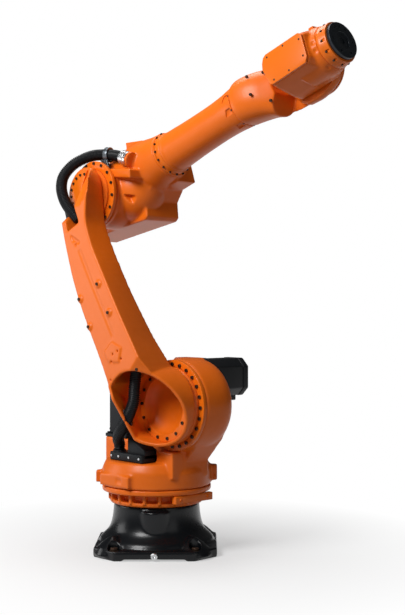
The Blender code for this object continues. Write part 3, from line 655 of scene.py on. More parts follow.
GREY_STEEL = Finish("phosphated_steel", "steel", (0.11, 0.125, 0.14), (0.16, 0.175, 0.19), 0.36,
                    metallic=0.85, peel=0.00003, fine_scale=300.0, broad_scale=40.0, dust=0.02)
# Dark steel for the foot bolts and every screw head. On the screw heads of painted parts this dark brown is
# painted shade, standing for the shadow in their counterbores.
DARK_STEEL_AND_SCREW_SHADE = Finish("oiled_steel_and_painted_screw_shade", "dark_screw", (0.040, 0.022, 0.014), (0.065, 0.036, 0.022), 0.42,
                    metallic=0.6, peel=0.00003, fine_scale=500.0, broad_scale=60.0, dust=0.05)
BLACK_OXIDE = Finish("black_oxide_steel", "black_oxide", (0.0110, 0.0145, 0.0190), (0.018, 0.022, 0.028),
                     0.34, metallic=0.2, peel=0.00002, fine_scale=500.0, broad_scale=30.0, dust=0.04)


def present(piece: bpy.types.Object, body: str, finish: Finish, replaces: Sequence[str] = (),
            matrix: Matrix | None = None) -> bpy.types.Object:
    """Finish a piece and hang it on its body.

    Args:
        piece: the modelled piece, in its body's own frame.
        body: the body it rides on.
        finish: its finish.
        replaces: the CAD nodes it stands for.
        matrix: the body's frame at rest.

    Returns:
        The same piece.
    """
    if matrix is not None:
        place(piece, matrix)
    piece.data.materials.clear()
    piece.data.materials.append(finish.material())
    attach(piece, body)
    if replaces:
        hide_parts(*replaces)
    log.info("%s on %s, %d faces", piece.name, body, len(piece.data.polygons))
    return piece


def present_screwed(name: str, parts: Sequence[bpy.types.Object], heads: Sequence[bpy.types.Object],
                    body: str, finish: Finish, replaces: Sequence[str],
                    matrix: Matrix | None = None) -> None:
    """Hang a painted piece and, apart from it, its screw heads, whose dark colour is painted shade for the
    shadow in their counterbores.

    Args:
        name: the piece's name.
        parts: the shapes that make the piece.
        heads: its screw heads.
        body: the body they ride on.
        finish: the piece's finish.
        replaces: the CAD nodes it stands for.
        matrix: the body's frame at rest.
    """
    present(joined(name, parts), body, finish, replaces, matrix)
    # The heads' dark colour is painted shade for the shadow in their counterbores.
    present(joined(f"{name}_heads", heads), body, DARK_STEEL_AND_SCREW_SHADE, (), matrix)


# ------------------------------------------------------------------------------------ frames
@dataclass(frozen=True)
class Rig:
    """The frame that each sub-assembly is drawn in, read from the joints at rest."""

    base: Matrix
    link: Matrix
    arm: Matrix
    forearm: Matrix
    wrist: Matrix

    @staticmethod
    def frame_at(origin: Vector, across: Vector, upward: Vector) -> Matrix:
        """A frame with X along across, Z along upward, and Y sideways."""
        side = upward.cross(across)
        turn = Matrix((across, side, upward)).transposed().to_4x4()
        return Matrix.Translation(origin) @ turn

    @classmethod
    def read(cls, joints: Sequence[dict], base_turn: float) -> "Rig":
        """Work out the frames.

        Args:
            joints: the record's joints.
            base_turn: how far the base casting is turned against the arm, in degrees.

        Returns:
            The rig.
        """
        spot = {joint["name"]: Vector(joint["pos_m"]) for joint in joints if "pos_m" in joint}
        reach = next(Vector(joint["axis"]) for joint in joints if joint["name"] == "axis4").normalized()
        side = Vector((0, 1, 0))
        link_up = (spot["axis3"] - spot["axis2"]).normalized()
        link_across = side.cross(link_up)
        arm_up = reach.cross(side)
        return cls(base=rotated(base_turn, "Z"),
                   link=cls.frame_at(spot["axis2"], link_across, link_up),
                   arm=cls.frame_at(spot["axis3"], reach, arm_up),
                   forearm=cls.frame_at(spot["axis4"], reach, arm_up),
                   wrist=cls.frame_at(spot["axis5"], reach, arm_up))


def servo_motor(name: str, middle: Flat, along: Along, shell: tuple[float, float, float, float, float],
                cap: tuple[float, float, float, float, float]) -> list[bpy.types.Object]:
    """A motor's eight-sided shell and the cap on its end.

    Args:
        name: the motor's name, for its parts.
        middle: where its shaft runs, in the two axes across it.
        along: the axis of its shaft.
        shell: half width, cut corner, start, end and bevel of the shell.
        cap: the same of the cap.

    Returns:
        The shell and the cap.
    """
    return [crisp(prism(f"{name}_{part}", clipped_square(half, leg, middle), start, end, along), edge)
            for part, (half, leg, start, end, edge) in (("shell", shell), ("cap", cap))]


# ------------------------------------------------------------------------------------ base
@dataclass(frozen=True)
class Base:
    """The black base casting with its bolts, earthing screw and connection panel."""

    rig: Rig
    plate_half: float = 0.235
    plate_leg: float = 0.085
    plate_height: float = 0.035
    bolt_x: float = 0.152
    bolt_y: float = 0.195

    def build(self) -> None:
        """Build and hang every piece of the base."""
        self.casting()
        self.fasteners()
        self.panel()

    def casting(self) -> None:
        """The base casting: plate, flared neck, round bulge and four feet."""
        cores = [prism("plate", clipped_square(self.plate_half, self.plate_leg), 0.0, self.plate_height)]
        neck = flowing([(0.226, 0.004), (0.2255, 0.034), (0.219, 0.052), (0.205, 0.066), (0.188, 0.084),
                        (0.177, 0.108), (0.170, 0.142), (0.166, 0.187)], 3)
        cores.append(turned("neck", neck))
        bulge = flowing([(0.008, 0.052), (0.030, 0.055), (0.052, 0.068), (0.063, 0.090), (0.066, 0.130),
                         (0.066, 0.172)], 3)
        cores.append(turned("bulge", bulge, centre=(0, -0.122, 0), segments=72))
        foot = [(0.075, 0.010), (0.060, 0.040), (0.040, 0.058), (0.012, 0.078)]
        relief = []
        for quarter in range(4):
            turn = Matrix.Rotation(math.pi / 2 * quarter, 4, "Z")
            cores.append(place(turned("foot", foot, centre=(0.158, 0.142, 0), segments=48), turn))
            relief.append(place(block("relief", (-0.120, -0.300, -0.020), (0.120, -0.190, 0.006)), turn))
        for x in (-self.bolt_x, self.bolt_x):
            for y in (-self.bolt_y, self.bolt_y):
                relief.append(disc("seat", 0.0225, 0.0275, 0.2, centre=(x, y, 0), segments=40))
        relief.append(disc("front_seat", 0.0150, -0.300, -0.2335, Along.Y, (0, 0, 0.020), 40))
        present(cast("base_casting", cores, relief, 0.0038, 6), "base", GLOSS_BLACK, ["base_frame"],
                self.rig.base)

    def fasteners(self) -> None:
        """Foot bolts on washers, and the earthing screw."""
        number = 0
        for x in (-self.bolt_x, self.bolt_x):
            for y in (-self.bolt_y, self.bolt_y):
                number += 1
                bolt = place(hex_bolt(0.0150, 0.0165, 0.0200), Matrix.Translation((x, y, 0.0276)))
                bolt.name = f"foot_bolt_{number}"
                present(bolt, "base", DARK_STEEL_AND_SCREW_SHADE, [f"mounting_bolt_{number}"], self.rig.base)
        profile = [(0.0128, -0.2350), (0.0130, -0.2410), (0.0105, -0.2438), (0.0055, -0.2440),
                   (0.0045, -0.2405)]
        screw = turned("earth_screw", profile, Along.Y, (0, 0, 0.020), 32)
        present(crisp(screw, 0.0005), "base", ZINC, ["ground_screw"], self.rig.base)

    def panel(self) -> None:
        """The connection panel on the back, with three round sockets and their caps."""
        plate = crisp(block("panel", (-0.075, 0.190, 0.095), (0.075, 0.234, 0.170)), 0.004)
        parts = [plate]
        for x, radius in ((-0.046, 0.0165), (0.0, 0.0185), (0.046, 0.0165)):
            collar = turned("socket", [(radius + 0.004, 0.233), (radius + 0.004, 0.2365), (radius, 0.2375),
                                       (radius, 0.249), (radius - 0.003, 0.250), (radius - 0.004, 0.240)],
                            Along.Y, (x, 0, 0.132), 40)
            parts.append(crisp(collar, 0.0005))
        head = cap_screw(0.0035, 0.003)
        parts += spread(head, [facing((x, 0.234, z), (0, 1, 0)) for x in (-0.068, 0.068)
                               for z in (0.102, 0.163)])
        present(joined("connection_plate", parts), "base", MOTOR_BLACK, ["connection_panel"], self.rig.base)


@dataclass(frozen=True)
class AxisOneRing:
    """The fixed ribbed ring under the axis 1 seam, with its stop bar."""

    radius: float = 0.212
    web: float = 0.160
    ribs: int = 20
    first_rib: float = -55.4

    def build(self) -> None:
        """Build and hang the ring and the bar."""
        section = [(0.128, 0.1884), (0.177, 0.1884), (0.182, 0.194), (0.182, 0.2045), (self.web, 0.2045),
                   (self.web, 0.2345), (0.206, 0.2345), (self.radius, 0.238), (self.radius, 0.2556),
                   (0.128, 0.2556), (0.128, 0.1884)]
        cores = [turned("ring", section)]
        for number in range(self.ribs):
            turn = rotated(self.first_rib + 360 * number / self.ribs, "Z")
            cores.append(place(block("rib", (self.web - 0.004, -0.006, 0.200), (0.188, 0.006, 0.238)), turn))
        seat = block("stop_seat", (0.1797, -0.082, 0.2038), (0.260, 0.112, 0.2353))
        present(cast("bearing_ring", cores, [seat], 0.003, 2), "base", CAST_ORANGE, ["axis1_bearing_ring"])
        bar = crisp(block("stop_bar", (0.180, -0.080, 0.2045), (0.203, 0.110, 0.2340)), 0.003)
        heads = spread(cap_screw(0.0060, 0.0035), [facing((0.203, y, 0.219), (1, 0, 0))
                                                   for y in (-0.055, 0.085)])
        present(joined("travel_stop", [bar, *heads]), "base", COVER_ORANGE, ["axis1_stop_bar"])


# ------------------------------------------------------------------------------------ column
@dataclass(frozen=True)
class Column:
    """The turning column: casting, two motors, axis 2 flange ring and junction box."""

    axis2: Triple = (0.175, 0.0, 0.575)
    drum_radius: float = 0.212
    flange_bolts: int = 24
    bolt_circle: float = 0.155
    motor1_centre: Flat = (-0.180, 0.005)
    motor2_centre: Flat = (0.105, 0.667)

    def build(self) -> None:
        """Build and hang every piece of the column."""
        self.casting()
        self.flange_ring()
        self.motor_one()
        self.motor_two()
        self.junction()

    def casting(self) -> None:
        """The column casting: drum, saddle, axis 2 barrel, lugs and motor seats."""
        drum = [(0.208, 0.2564), (self.drum_radius, 0.260), (self.drum_radius, 0.316)]
        drum += flowing([(0.2105, 0.323), (0.206, 0.334), (0.1995, 0.348), (0.194, 0.355)], 3)
        cores = [turned("drum", drum, segments=128)]
        saddle = [(0.205, 0.300), (0.205, 0.362), (0.283, 0.445), (0.320, 0.520), (0.050, 0.560),
                  (0.010, 0.470), (-0.040, 0.390), (-0.060, 0.300)]
        cores.append(prism("saddle", saddle, -0.035, 0.088, Along.Y))
        cores.append(block("pedestal", (0.110, -0.098, 0.300), (0.203, -0.030, 0.4005)))
        barrel = [(0.168, -0.0555), (0.172, -0.0515)]
        barrel += flowing([(0.1735, -0.040), (0.176, 0.010), (0.1745, 0.045), (0.168, 0.070),
                           (0.155, 0.088), (0.135, 0.100)], 3)
        cores.append(turned("barrel", barrel, Along.Y, self.axis2, 128))
        cores.append(prism("motor_seat", clipped_square(0.082, 0.030, self.motor2_centre), 0.045, 0.108,
                           Along.Y))
        cores.append(block("rear_seat", (-0.246, -0.062, 0.330), (-0.100, 0.072, 0.4245)))
        cutters = [disc("gear_pocket", 0.1453, -0.2, 0.030, Along.Y, self.axis2)]
        for angle, low, high in ((227.0, 0.263, 0.308), (47.0, 0.270, 0.331)):
            turn = rotated(angle, "Z")
            cores.append(place(block("lug", (0.190, -0.022, low), (0.236, 0.022, high)), turn))
            cutters.append(place(disc("eye", 0.0062, -0.1, 0.1, Along.Y, (0.2235, 0, low + 0.024), 24),
                                 turn))
        turn = rotated(270, "Z")
        cores.append(place(block("pad", (0.150, -0.085, 0.2635), (0.2165, 0.085, 0.310)), turn))
        cutters.append(place(block("pad_recess", (0.2125, 0.010, 0.276), (0.30, 0.048, 0.300)), turn))
        cutters.append(place(disc("pad_hole", 0.0048, 0.205, 0.30, Along.X, (0, -0.012, 0.279), 20), turn))
        cutters.append(disc("bracket_hole", 0.0055, -0.10, -0.05, Along.Y, (-0.205, 0, 0.375), 20))
        present(cast("column_casting", cores, cutters, 0.0042, 5), "column", CAST_ORANGE, ["column"])

    def flange_ring(self) -> None:
        """The ring of cap screws round axis 2."""
        ring = crisp(hoop("ring", 0.1456, 0.1715, -0.0710, -0.0558, Along.Y, self.axis2, 128), 0.0012)
        heads = spread(cap_screw(0.0068, 0.0060), on_circle(self.flange_bolts, self.bolt_circle, -0.0709,
                                                            Along.Y, self.axis2, outwards=-1))
        present_screwed("axis2_screw_ring", [ring], heads, "column", COVER_ORANGE, ["axis2_flange_ring"])

    def motor_one(self) -> None:
        """The upright axis 1 motor with its flange."""
        x, y = self.motor1_centre
        shell, lid = servo_motor("motor1", self.motor1_centre, Along.Z,
                                 (0.059, 0.012, 0.4390, 0.6260, 0.003),
                                 (0.060, 0.014, 0.6265, 0.6520, 0.004))
        ribs = [crisp(prism("rib", clipped_square(0.0600, 0.012, (x, y)), low, low + 0.008), 0.0015)
                for low in (0.452, 0.600)]
        plug = crisp(block("plug", (x + 0.045, y - 0.022, 0.556), (x + 0.080, y + 0.024, 0.612)), 0.005)
        heads = spread(cap_screw(0.0035, 0.003), [facing((x + a, y + b, 0.6519), (0, 0, 1))
                                                  for a in (-0.045, 0.045) for b in (-0.045, 0.045)])
        present(joined("motor_axis1", [shell, lid, plug, *ribs, *heads]), "column", MOTOR_BLACK,
                ["axis1_motor"])
        plate = crisp(block("plate", (-0.246, -0.062, 0.4248), (-0.114, 0.072, 0.4387)), 0.003)
        bolts = spread(cap_screw(0.0055, 0.0055), [facing((x + a, y + b, 0.4386), (0, 0, 1))
                                                   for a in (-0.058, 0.056) for b in (-0.056, 0.056)])
        present(joined("motor_axis1_flange", [plate, *bolts]), "column", MOTOR_BLACK, ["axis1_motor_flange"])

    def motor_two(self) -> None:
        """The big axis 2 motor on the far side, with its flange."""
        middle = self.motor2_centre
        shell, cap = servo_motor("motor2", middle, Along.Y, (0.0735, 0.030, 0.1203, 0.300, 0.004),
                                 (0.075, 0.032, 0.3005, 0.330, 0.006))
        band = crisp(prism("band", clipped_square(0.075, 0.030, middle), 0.135, 0.150, Along.Y), 0.002)
        plug = crisp(block("plug", (0.080, 0.262, 0.572), (0.130, 0.308, 0.602)), 0.005)
        lid = turned("lid", [(0.050, 0.329), (0.050, 0.3305), (0.046, 0.3318), (0, 0.3318)], Along.Y,
                     (middle[0], 0, middle[1]), 64)
        present(joined("motor_axis2", [shell, cap, band, plug, crisp(lid, 0.0005)]), "column", MOTOR_BLACK,
                ["axis2_motor"])
        plate = crisp(prism("plate", clipped_square(0.080, 0.028, middle), 0.1083, 0.1200, Along.Y), 0.002)
        bolts = spread(cap_screw(0.0060, 0.006), [facing((middle[0] + a, 0.1199, middle[1] + b), (0, 1, 0))
                                                  for b in (0.040, -0.040) for a in (-0.074, 0.074)])
        present(joined("motor_axis2_flange", [plate, *bolts]), "column", MOTOR_BLACK, ["axis2_motor_flange"])

    def junction(self) -> None:
        """The junction box beside the drum, with the lower hose's gland and bright screws."""
        foot = crisp(block("foot", (-0.085, -0.166, 0.3556), (0.105, -0.088, 0.388)), 0.004)
        side = [(0.006, 0.3700), (0.105, 0.3700), (0.105, 0.404), (0.030, 0.440), (0.006, 0.446)]
        lid = crisp(prism("lid", side, -0.152, -0.0895, Along.Y), 0.003)
        gland = turned("gland", [(0.0275, 0.384), (0.0275, 0.3885), (0.0250, 0.3895), (0.0250, 0.3948)],
                       centre=(-0.0570, -0.1405, 0), segments=48)
        nut = turned("nut", [(0.0262, 0.3880), (0.0262, 0.3925)], centre=(-0.0570, -0.1405, 0), segments=6)
        present(joined("junction_housing", [foot, lid, crisp(gland, 0.0008), crisp(nut, 0.0008)]),
                "column", MOTOR_BLACK, ["junction_box"])
        heads = spread(cap_screw(0.0045, 0.0030), [facing((x, -0.1660, 0.3725), (0, -1, 0))
                                                   for x in (-0.074, -0.030, 0.030, 0.090)])
        present(joined("junction_screws", heads), "column", ZINC)


# ------------------------------------------------------------------------------------ link arm
@dataclass(frozen=True)
class LinkArm:
    """The curved link arm between axes 2 and 3, with its hub plate and end cap."""

    rig: Rig
    length: float = 0.890
    near_face: float = -0.280
    bell_radius: float = 0.150
    bell_wall: float = 0.014
    rim: Triple = (-0.218, -0.608, 0.2745)
    blade_side: tuple = ((-0.0700, 0.8585), (0.0400, 0.9465), (0.0800, 0.9785), (0.300, 0.9785),
                         (0.300, 0.700), (-0.0700, 0.700))
    stations: tuple = ((-0.020, -0.083, 0.128, 0.100, -0.280, -0.0945),
                       (0.060, -0.083, 0.132, 0.098, -0.280, -0.0950),
                       (0.160, -0.086, 0.120, 0.080, -0.280, -0.108),
                       (0.250, -0.094, 0.103, 0.062, -0.280, -0.122),
                       (0.360, -0.108, 0.082, 0.050, -0.280, -0.138),
                       (0.460, -0.118, 0.066, 0.040, -0.280, -0.150),
                       (0.560, -0.122, 0.050, 0.034, -0.280, -0.160),
                       (0.650, -0.117, 0.038, 0.030, -0.280, -0.168),
                       (0.740, -0.108, 0.042, 0.034, -0.280, -0.1745),
                       (0.800, -0.099, 0.068, 0.050, -0.280, -0.1755),
                       (0.860, -0.090, 0.104, 0.070, -0.280, -0.1755),
                       (0.905, -0.082, 0.125, 0.078, -0.280, -0.1755),
                       (0.940, -0.070, 0.100, 0.074, -0.235, -0.1755),
                       (0.965, -0.052, 0.066, 0.060, -0.207, -0.1755))
    bosses: tuple = ((0.019, 0.492), (0.034, 0.368), (-0.106, 0.486), (-0.096, 0.367))
    front_boss: Flat = (0.104, 0.112)

    def build(self) -> None:
        """Build and hang every piece of the link arm."""
        self.casting()
        self.hub()
        self.cap()

    def cores(self) -> list[bpy.types.Object]:
        """The solids that make the casting."""
        sections = []
        for height, rear, front, front_far, near, far in flowing(self.stations, 4):
            near = max(near, self.near_face)
            sections.append([(rear, near, height), (front, near, height), (front_far, far, height),
                             (rear + 0.010, far, height)])
        cores = [extruded("beam", sections)]
        cores.append(disc("bell", self.bell_radius, self.near_face + 0.001, -0.0925, Along.Y))
        head = disc("head", 0.105, -0.206, -0.1752, Along.Y, (0, 0, self.length))
        front_edge = ((0.700, 0.0300, 0.0300), (0.800, 0.0530, 0.0480), (0.860, 0.0785, 0.0670),
                      (0.905, 0.0900, 0.0750), (0.940, 0.0855, 0.0710), (1.020, 0.0500, 0.0480))
        front = extruded("head_front", [[(near, -0.2100, height), (far, -0.1720, height),
                                         (0.200, -0.1720, height), (0.200, -0.2100, height)]
                                        for height, near, far in front_edge])
        cores.append(cut_away(head, front))
        for across, height in self.bosses:
            cores.append(disc("boss", 0.0135, -0.2865, -0.270, Along.Y, (across, 0, height), 40))
        pad = [(-0.049, 0.244), (0.005, 0.261), (0.045, 0.221), (0.013, 0.178), (-0.042, 0.201)]
        cores.append(prism("pad", pad, -0.2845, -0.270, Along.Y))
        cores.append(disc("front_boss", 0.016, -0.2850, -0.265, Along.Y,
                          (self.front_boss[0], 0, self.front_boss[1]), 40))
        return cores

    def cutters(self) -> list[bpy.types.Object]:
        """The solids that are cut from the casting."""
        offset, slope_z, slope_x = self.rim
        corners = [(-0.30, -0.30), (0.30, -0.30), (0.30, 0.45), (-0.30, 0.45)]
        outside = extruded("outside_the_rim", [[(x, -0.64, z) for x, z in corners],
                                               [(x, offset + slope_z * z + slope_x * x, z)
                                                for x, z in corners]])
        rear = [(-0.158, -0.118), (-0.084, -0.286), (-0.300, -0.286), (-0.300, -0.118)]
        rear_slope = prism("rear_slope", rear, -0.250, 0.1275)
        cavity = disc("cavity", self.bell_radius - self.bell_wall, -0.40, -0.1122, Along.Y)
        cut_away(cavity, prism("keep", [(x + self.bell_wall, y) for x, y in rear], -0.250, 0.250))
        rows = ((0.02, -0.262, -0.140, -0.062, 0.075, 0.055, -0.055),
                (0.20, -0.262, -0.150, -0.066, 0.070, 0.040, -0.055),
                (0.50, -0.262, -0.180, -0.086, 0.030, 0.010, -0.075),
                (0.72, -0.255, -0.195, -0.080, 0.005, 0.005, -0.070),
                (0.86, -0.330, -0.206, -0.072, -0.001, -0.001, -0.065))
        tunnel = extruded("tunnel", [[(a, near, height), (b, near, height), (c, far, height),
                                      (d, far, height)] for height, near, far, a, b, c, d in rows])
        slot = block("slot", (-0.0735, -0.350, 0.770), (-0.0015, -0.2070, 0.900))
        recess = disc("cap_recess", 0.104, -0.35, -0.2050, Along.Y, (0, 0, self.length))
        cut_away(recess, prism("blade_side", self.blade_side, -0.40, -0.10, Along.Y))
        blade = ((-0.150, 0.790, 0.8220), (-0.068, 0.800, 0.8655), (-0.025, 0.804, 0.8955),
                 (0.038, 0.814, 0.9505), (0.0665, 0.824, 0.9745), (0.0965, 0.840, 1.000),
                 (0.150, 0.931, 1.090))
        facet = extruded("blade_facet", [[(across, -0.350, near - (far - near) * 0.93),
                                          (across, -0.2054, far), (across, -0.2054, 1.100),
                                          (across, -0.350, 1.100)] for across, near, far in blade])
        to_link = self.rig.link.inverted()
        notches = []
        route = [to_link @ Vector(p) for p in flowing(LOWER_ROUTE[2:8], 2)]
        for here, after in zip(route, route[1:]):
            room = disc("hose_room", 0.0265, -0.012, (after - here).length + 0.012, Along.X, segments=32)
            notches.append(place(room, pointing(here, after - here)))
        bore = disc("hub_bore", 0.1100, -0.2, 0.0, Along.Y)
        slash = prism("slash", [(-0.064, 0.745), (-0.020, 0.690), (-0.026, 0.682), (-0.066, 0.712)], -0.30,
                      -0.2745, Along.Y)
        path = flowing([(-0.036, 0.665), (-0.018, 0.525), (0.004, 0.379), (0.020, 0.275)], 4)
        both_sides = [(t - 0.011, s) for t, s in path] + [(t + 0.011, s) for t, s in reversed(path)]
        groove = prism("groove", both_sides, -0.30, -0.2778, Along.Y)
        holes = [disc("hole", 0.0050, -0.30, -0.2700, Along.Y, (across, 0, height), 20)
                 for across, height in ((-0.050, 0.690), (-0.062, 0.135), (0.024, 0.218), (-0.007, 0.217),
                                        (0.026, 0.186), (-0.026, 0.196))]
        return [outside, rear_slope, cavity, tunnel, slot, recess, facet, *notches, bore, slash, groove,
                *holes]

    def casting(self) -> None:
        """The link arm casting with its bell, cable tunnel and machined pads."""
        # The boss screw heads are dark with painted shade for the shadow in their counterbores.
        heads = spread(cap_screw(0.0060, 0.0050), [facing((across, -0.2862, height), (0, -1, 0))
                                                   for across, height in (*self.bosses, self.front_boss)])
        present(joined("link_casting_heads", heads), "link", DARK_STEEL_AND_SCREW_SHADE, (), self.rig.link)
        present(cast("link_casting", self.cores(), self.cutters(), 0.0033, 3), "link", CAST_ORANGE,
                ["link_arm"], self.rig.link)

    def hub(self) -> None:
        """The dished plate that screws the link arm to the axis 2 gear unit."""
        dish = flowing([(0.004, -0.0702), (0.030, -0.0712), (0.060, -0.0765), (0.085, -0.0880),
                        (0.100, -0.1030), (0.108, -0.1180)], 3)
        plate = turned("plate", [*dish, (0.1330, -0.1185), (0.1345, -0.1170), (0.1345, -0.1125),
                                 (0.1084, -0.1125), (0.1084, -0.0600), (0.004, -0.0520)], Along.Y)
        heads = spread(cap_screw(0.0062, 0.0050), on_circle(14, 0.1210, -0.1184, Along.Y, outwards=-1))
        present_screwed("hub_plate", [crisp(plate, 0.001)], heads, "link", CAST_ORANGE,
                        ["axis2_hub_plate"], self.rig.link)

    def cap(self) -> None:
        """The screwed cap over axis 3."""
        centre = (0, 0, self.length)
        lid = disc("lid", 0.094, -0.2130, -0.2053, Along.Y, centre, 96)
        beside_blade = [(x - 0.0015, z + 0.0020) for x, z in self.blade_side]
        cut_away(lid, prism("cap_flat", beside_blade, -0.40, -0.10, Along.Y))
        spots = [spot for spot in on_circle(18, 0.0780, -0.2129, Along.Y, centre, outwards=-1)
                 if spot.translation.z - 0.9185 > 0.8 * spot.translation.x]
        heads = spread(cap_screw(0.0052, 0.0045), spots)
        present_screwed("axis3_cap", [crisp(lid, 0.001)], heads, "link", COVER_ORANGE, ["axis3_end_cap"],
                        self.rig.link)


# ------------------------------------------------------------------------------------ arm housing
@dataclass(frozen=True)
class ArmHousing:
    """The housing round axis 3 with its flange, four motors, axis 4 screw ring and hose fittings."""

    rig: Rig
    tube_height: float = 0.050
    hose_start: Triple = (-0.064, -0.118, 1.5256)
    hose_next: Triple = (-0.107, -0.1185, 1.537)
    clamp_spot: Triple = (-0.150, -0.121, 1.5435)
    clamp_towards: Triple = (-0.185, -0.133, 1.546)

    def build(self) -> None:
        """Build and hang every piece of the arm housing."""
        self.casting()
        self.flange_ring()
        self.screw_ring()
        self.motors()
        self.hose_fittings()

    def casting(self) -> None:
        """The housing casting: axis 3 barrel, neck towards the forearm, belly and lugs."""
        shell = [(0.108, -0.1527), (0.116, -0.1515)]
        shell += flowing([(0.1185, -0.147), (0.123, -0.132), (0.130, -0.095), (0.132, -0.040),
                          (0.126, 0.040), (0.116, 0.090), (0.100, 0.120)], 3)
        cores = [turned("shell", shell, Along.Y)]
        neck = flowing([(0.060, -0.085), (0.096, -0.050), (0.108, 0.020), (0.1135, 0.100), (0.1135, 0.160),
                        (0.106, 0.215), (0.096, 0.260), (0.0905, 0.304)], 3)
        cores.append(turned("neck", neck, Along.X, (0, 0, self.tube_height)))
        belly = [(-0.260, -0.080), (-0.245, -0.094), (0.135, -0.154), (0.152, -0.145), (0.166, -0.085),
                 (0.210, -0.052), (0.230, 0.010), (0.100, 0.110), (-0.235, 0.110), (-0.260, 0.090)]
        cores.append(prism("belly", belly, -0.050, 0.118, Along.Y))
        cores.append(block("gusset", (0.170, 0.020, -0.052), (0.292, 0.112, 0.030)))
        cores.append(prism("motor_seat", clipped_square(0.060, 0.015, (0.015, 0.115)), 0.060, 0.1500,
                           Along.Y))
        cores.append(prism("lug", [(0.085, 0.130), (0.092, 0.198), (0.190, 0.164), (0.180, 0.130)], -0.022,
                           0.022, Along.Y))
        cores.append(prism("ledge", [(0.100, 0.034), (0.108, 0.066), (0.222, 0.016), (0.212, -0.018)],
                           -0.150, -0.080, Along.Y))
        inward = self.frame_on_hose()
        cores.append(place(disc("socket_boss", 0.0310, 0.0405, 0.056, Along.X, segments=48), inward))
        cores.append(self.bulge((0.090, -0.020, -0.010), (0.128, 0.112, 0.124)))
        cores.append(hoop("step", 0.100, 0.1265, -0.1410, -0.1330, Along.Y))
        cutters = [disc("gear_pocket", 0.1003, -0.30, -0.118, Along.Y),
                   place(disc("socket", 0.0295, -0.060, 0.050, Along.X, segments=48), inward)]
        cutters.append(prism("recess", [(0.122, -0.046), (0.196, -0.082), (0.148, -0.124)], -0.17, -0.092,
                             Along.Y))
        present(cast("housing_casting", cores, cutters, 0.0036, 3), "arm", CAST_ORANGE, ["arm_housing"],
                self.rig.arm)

    @staticmethod
    def bulge(centre: Triple, radii: Triple) -> bpy.types.Object:
        """The rounded belly that joins the barrel to the neck."""
        bpy.ops.object.select_all(action="DESELECT")
        bpy.ops.mesh.primitive_ico_sphere_add(subdivisions=5, radius=1.0)
        piece = bpy.context.active_object
        return place(piece, Matrix.Translation(centre) @ Matrix.Diagonal((*radii, 1.0)))

    def frame_on_hose(self) -> Matrix:
        """The upper hose's end, in the housing's frame, with X pointing into the connector."""
        to_arm = self.rig.arm.inverted()
        start, after = to_arm @ Vector(self.hose_start), to_arm @ Vector(self.hose_next)
        return pointing(start, start - after)

    def flange_ring(self) -> None:
        """The ring of cap screws round axis 3."""
        ring = crisp(hoop("ring", 0.1006, 0.1320, -0.1670, -0.1530, Along.Y, segments=128), 0.0012)
        heads = spread(cap_screw(0.0060, 0.0052), on_circle(16, 0.1230, -0.1669, Along.Y, outwards=-1))
        present_screwed("axis3_screw_ring", [ring], heads, "arm", COVER_ORANGE, ["axis3_flange_ring"],
                        self.rig.arm)

    def screw_ring(self) -> None:
        """The screwed collar at the axis 4 seam."""
        centre = (0, 0, self.tube_height)
        section = [(0.0625, 0.3043), (0.0895, 0.3043), (0.0905, 0.3080), (0.0900, 0.3110),
                   (0.0835, 0.3135), (0.0825, 0.3260), (0.0805, 0.3327), (0.0625, 0.3327), (0.0625, 0.3043)]
        ring = crisp(turned("collar", section, Along.X, centre, 128), 0.0010)
        heads = spread(cap_screw(0.0042, 0.0050), on_circle(16, 0.0862, 0.3128, Along.X, centre))
        present_screwed("axis4_screw_ring", [ring], heads, "arm", COVER_ORANGE, ["axis4_bolt_ring"],
                        self.rig.arm)

    def motors(self) -> None:
        """The axis 3 motor on the far side and the three wrist motors at the back."""
        middle = (0.015, 0.115)
        shell, cap = servo_motor("motor3", middle, Along.Y, (0.0530, 0.014, 0.1503, 0.303, 0.003),
                                 (0.054, 0.015, 0.3035, 0.330, 0.004))
        band = crisp(prism("band", clipped_square(0.054, 0.014, middle), 0.158, 0.170, Along.Y), 0.0015)
        plug = crisp(block("plug", (-0.005, 0.265, 0.166), (0.035, 0.305, 0.190)), 0.004)
        present(joined("motor_axis3", [shell, cap, band, plug]), "arm", MOTOR_BLACK, ["axis3_motor"],
                self.rig.arm)
        for number, across, height in ((4, -0.008, 0.058), (5, 0.076, 0.058), (6, 0.034, -0.028)):
            shell, cap = servo_motor(f"motor{number}", (across, height), Along.X,
                                     (0.0390, 0.010, -0.323, -0.2603, 0.0025),
                                     (0.0400, 0.011, -0.3450, -0.3235, 0.003))
            low, high = (height + 0.030, height + 0.052) if number < 6 else (height - 0.052, height - 0.030)
            plug = crisp(block("plug", (-0.335, across - 0.015, low), (-0.305, across + 0.015, high)), 0.003)
            heads = spread(cap_screw(0.0030, 0.0025), [facing((-0.3449, across + a, height + b), (-1, 0, 0))
                                                       for a in (-0.030, 0.030) for b in (-0.024, 0.024)])
            present(joined(f"motor_axis{number}", [shell, cap, plug, *heads]), "arm", MOTOR_BLACK,
                    [f"axis{number}_motor"], self.rig.arm)

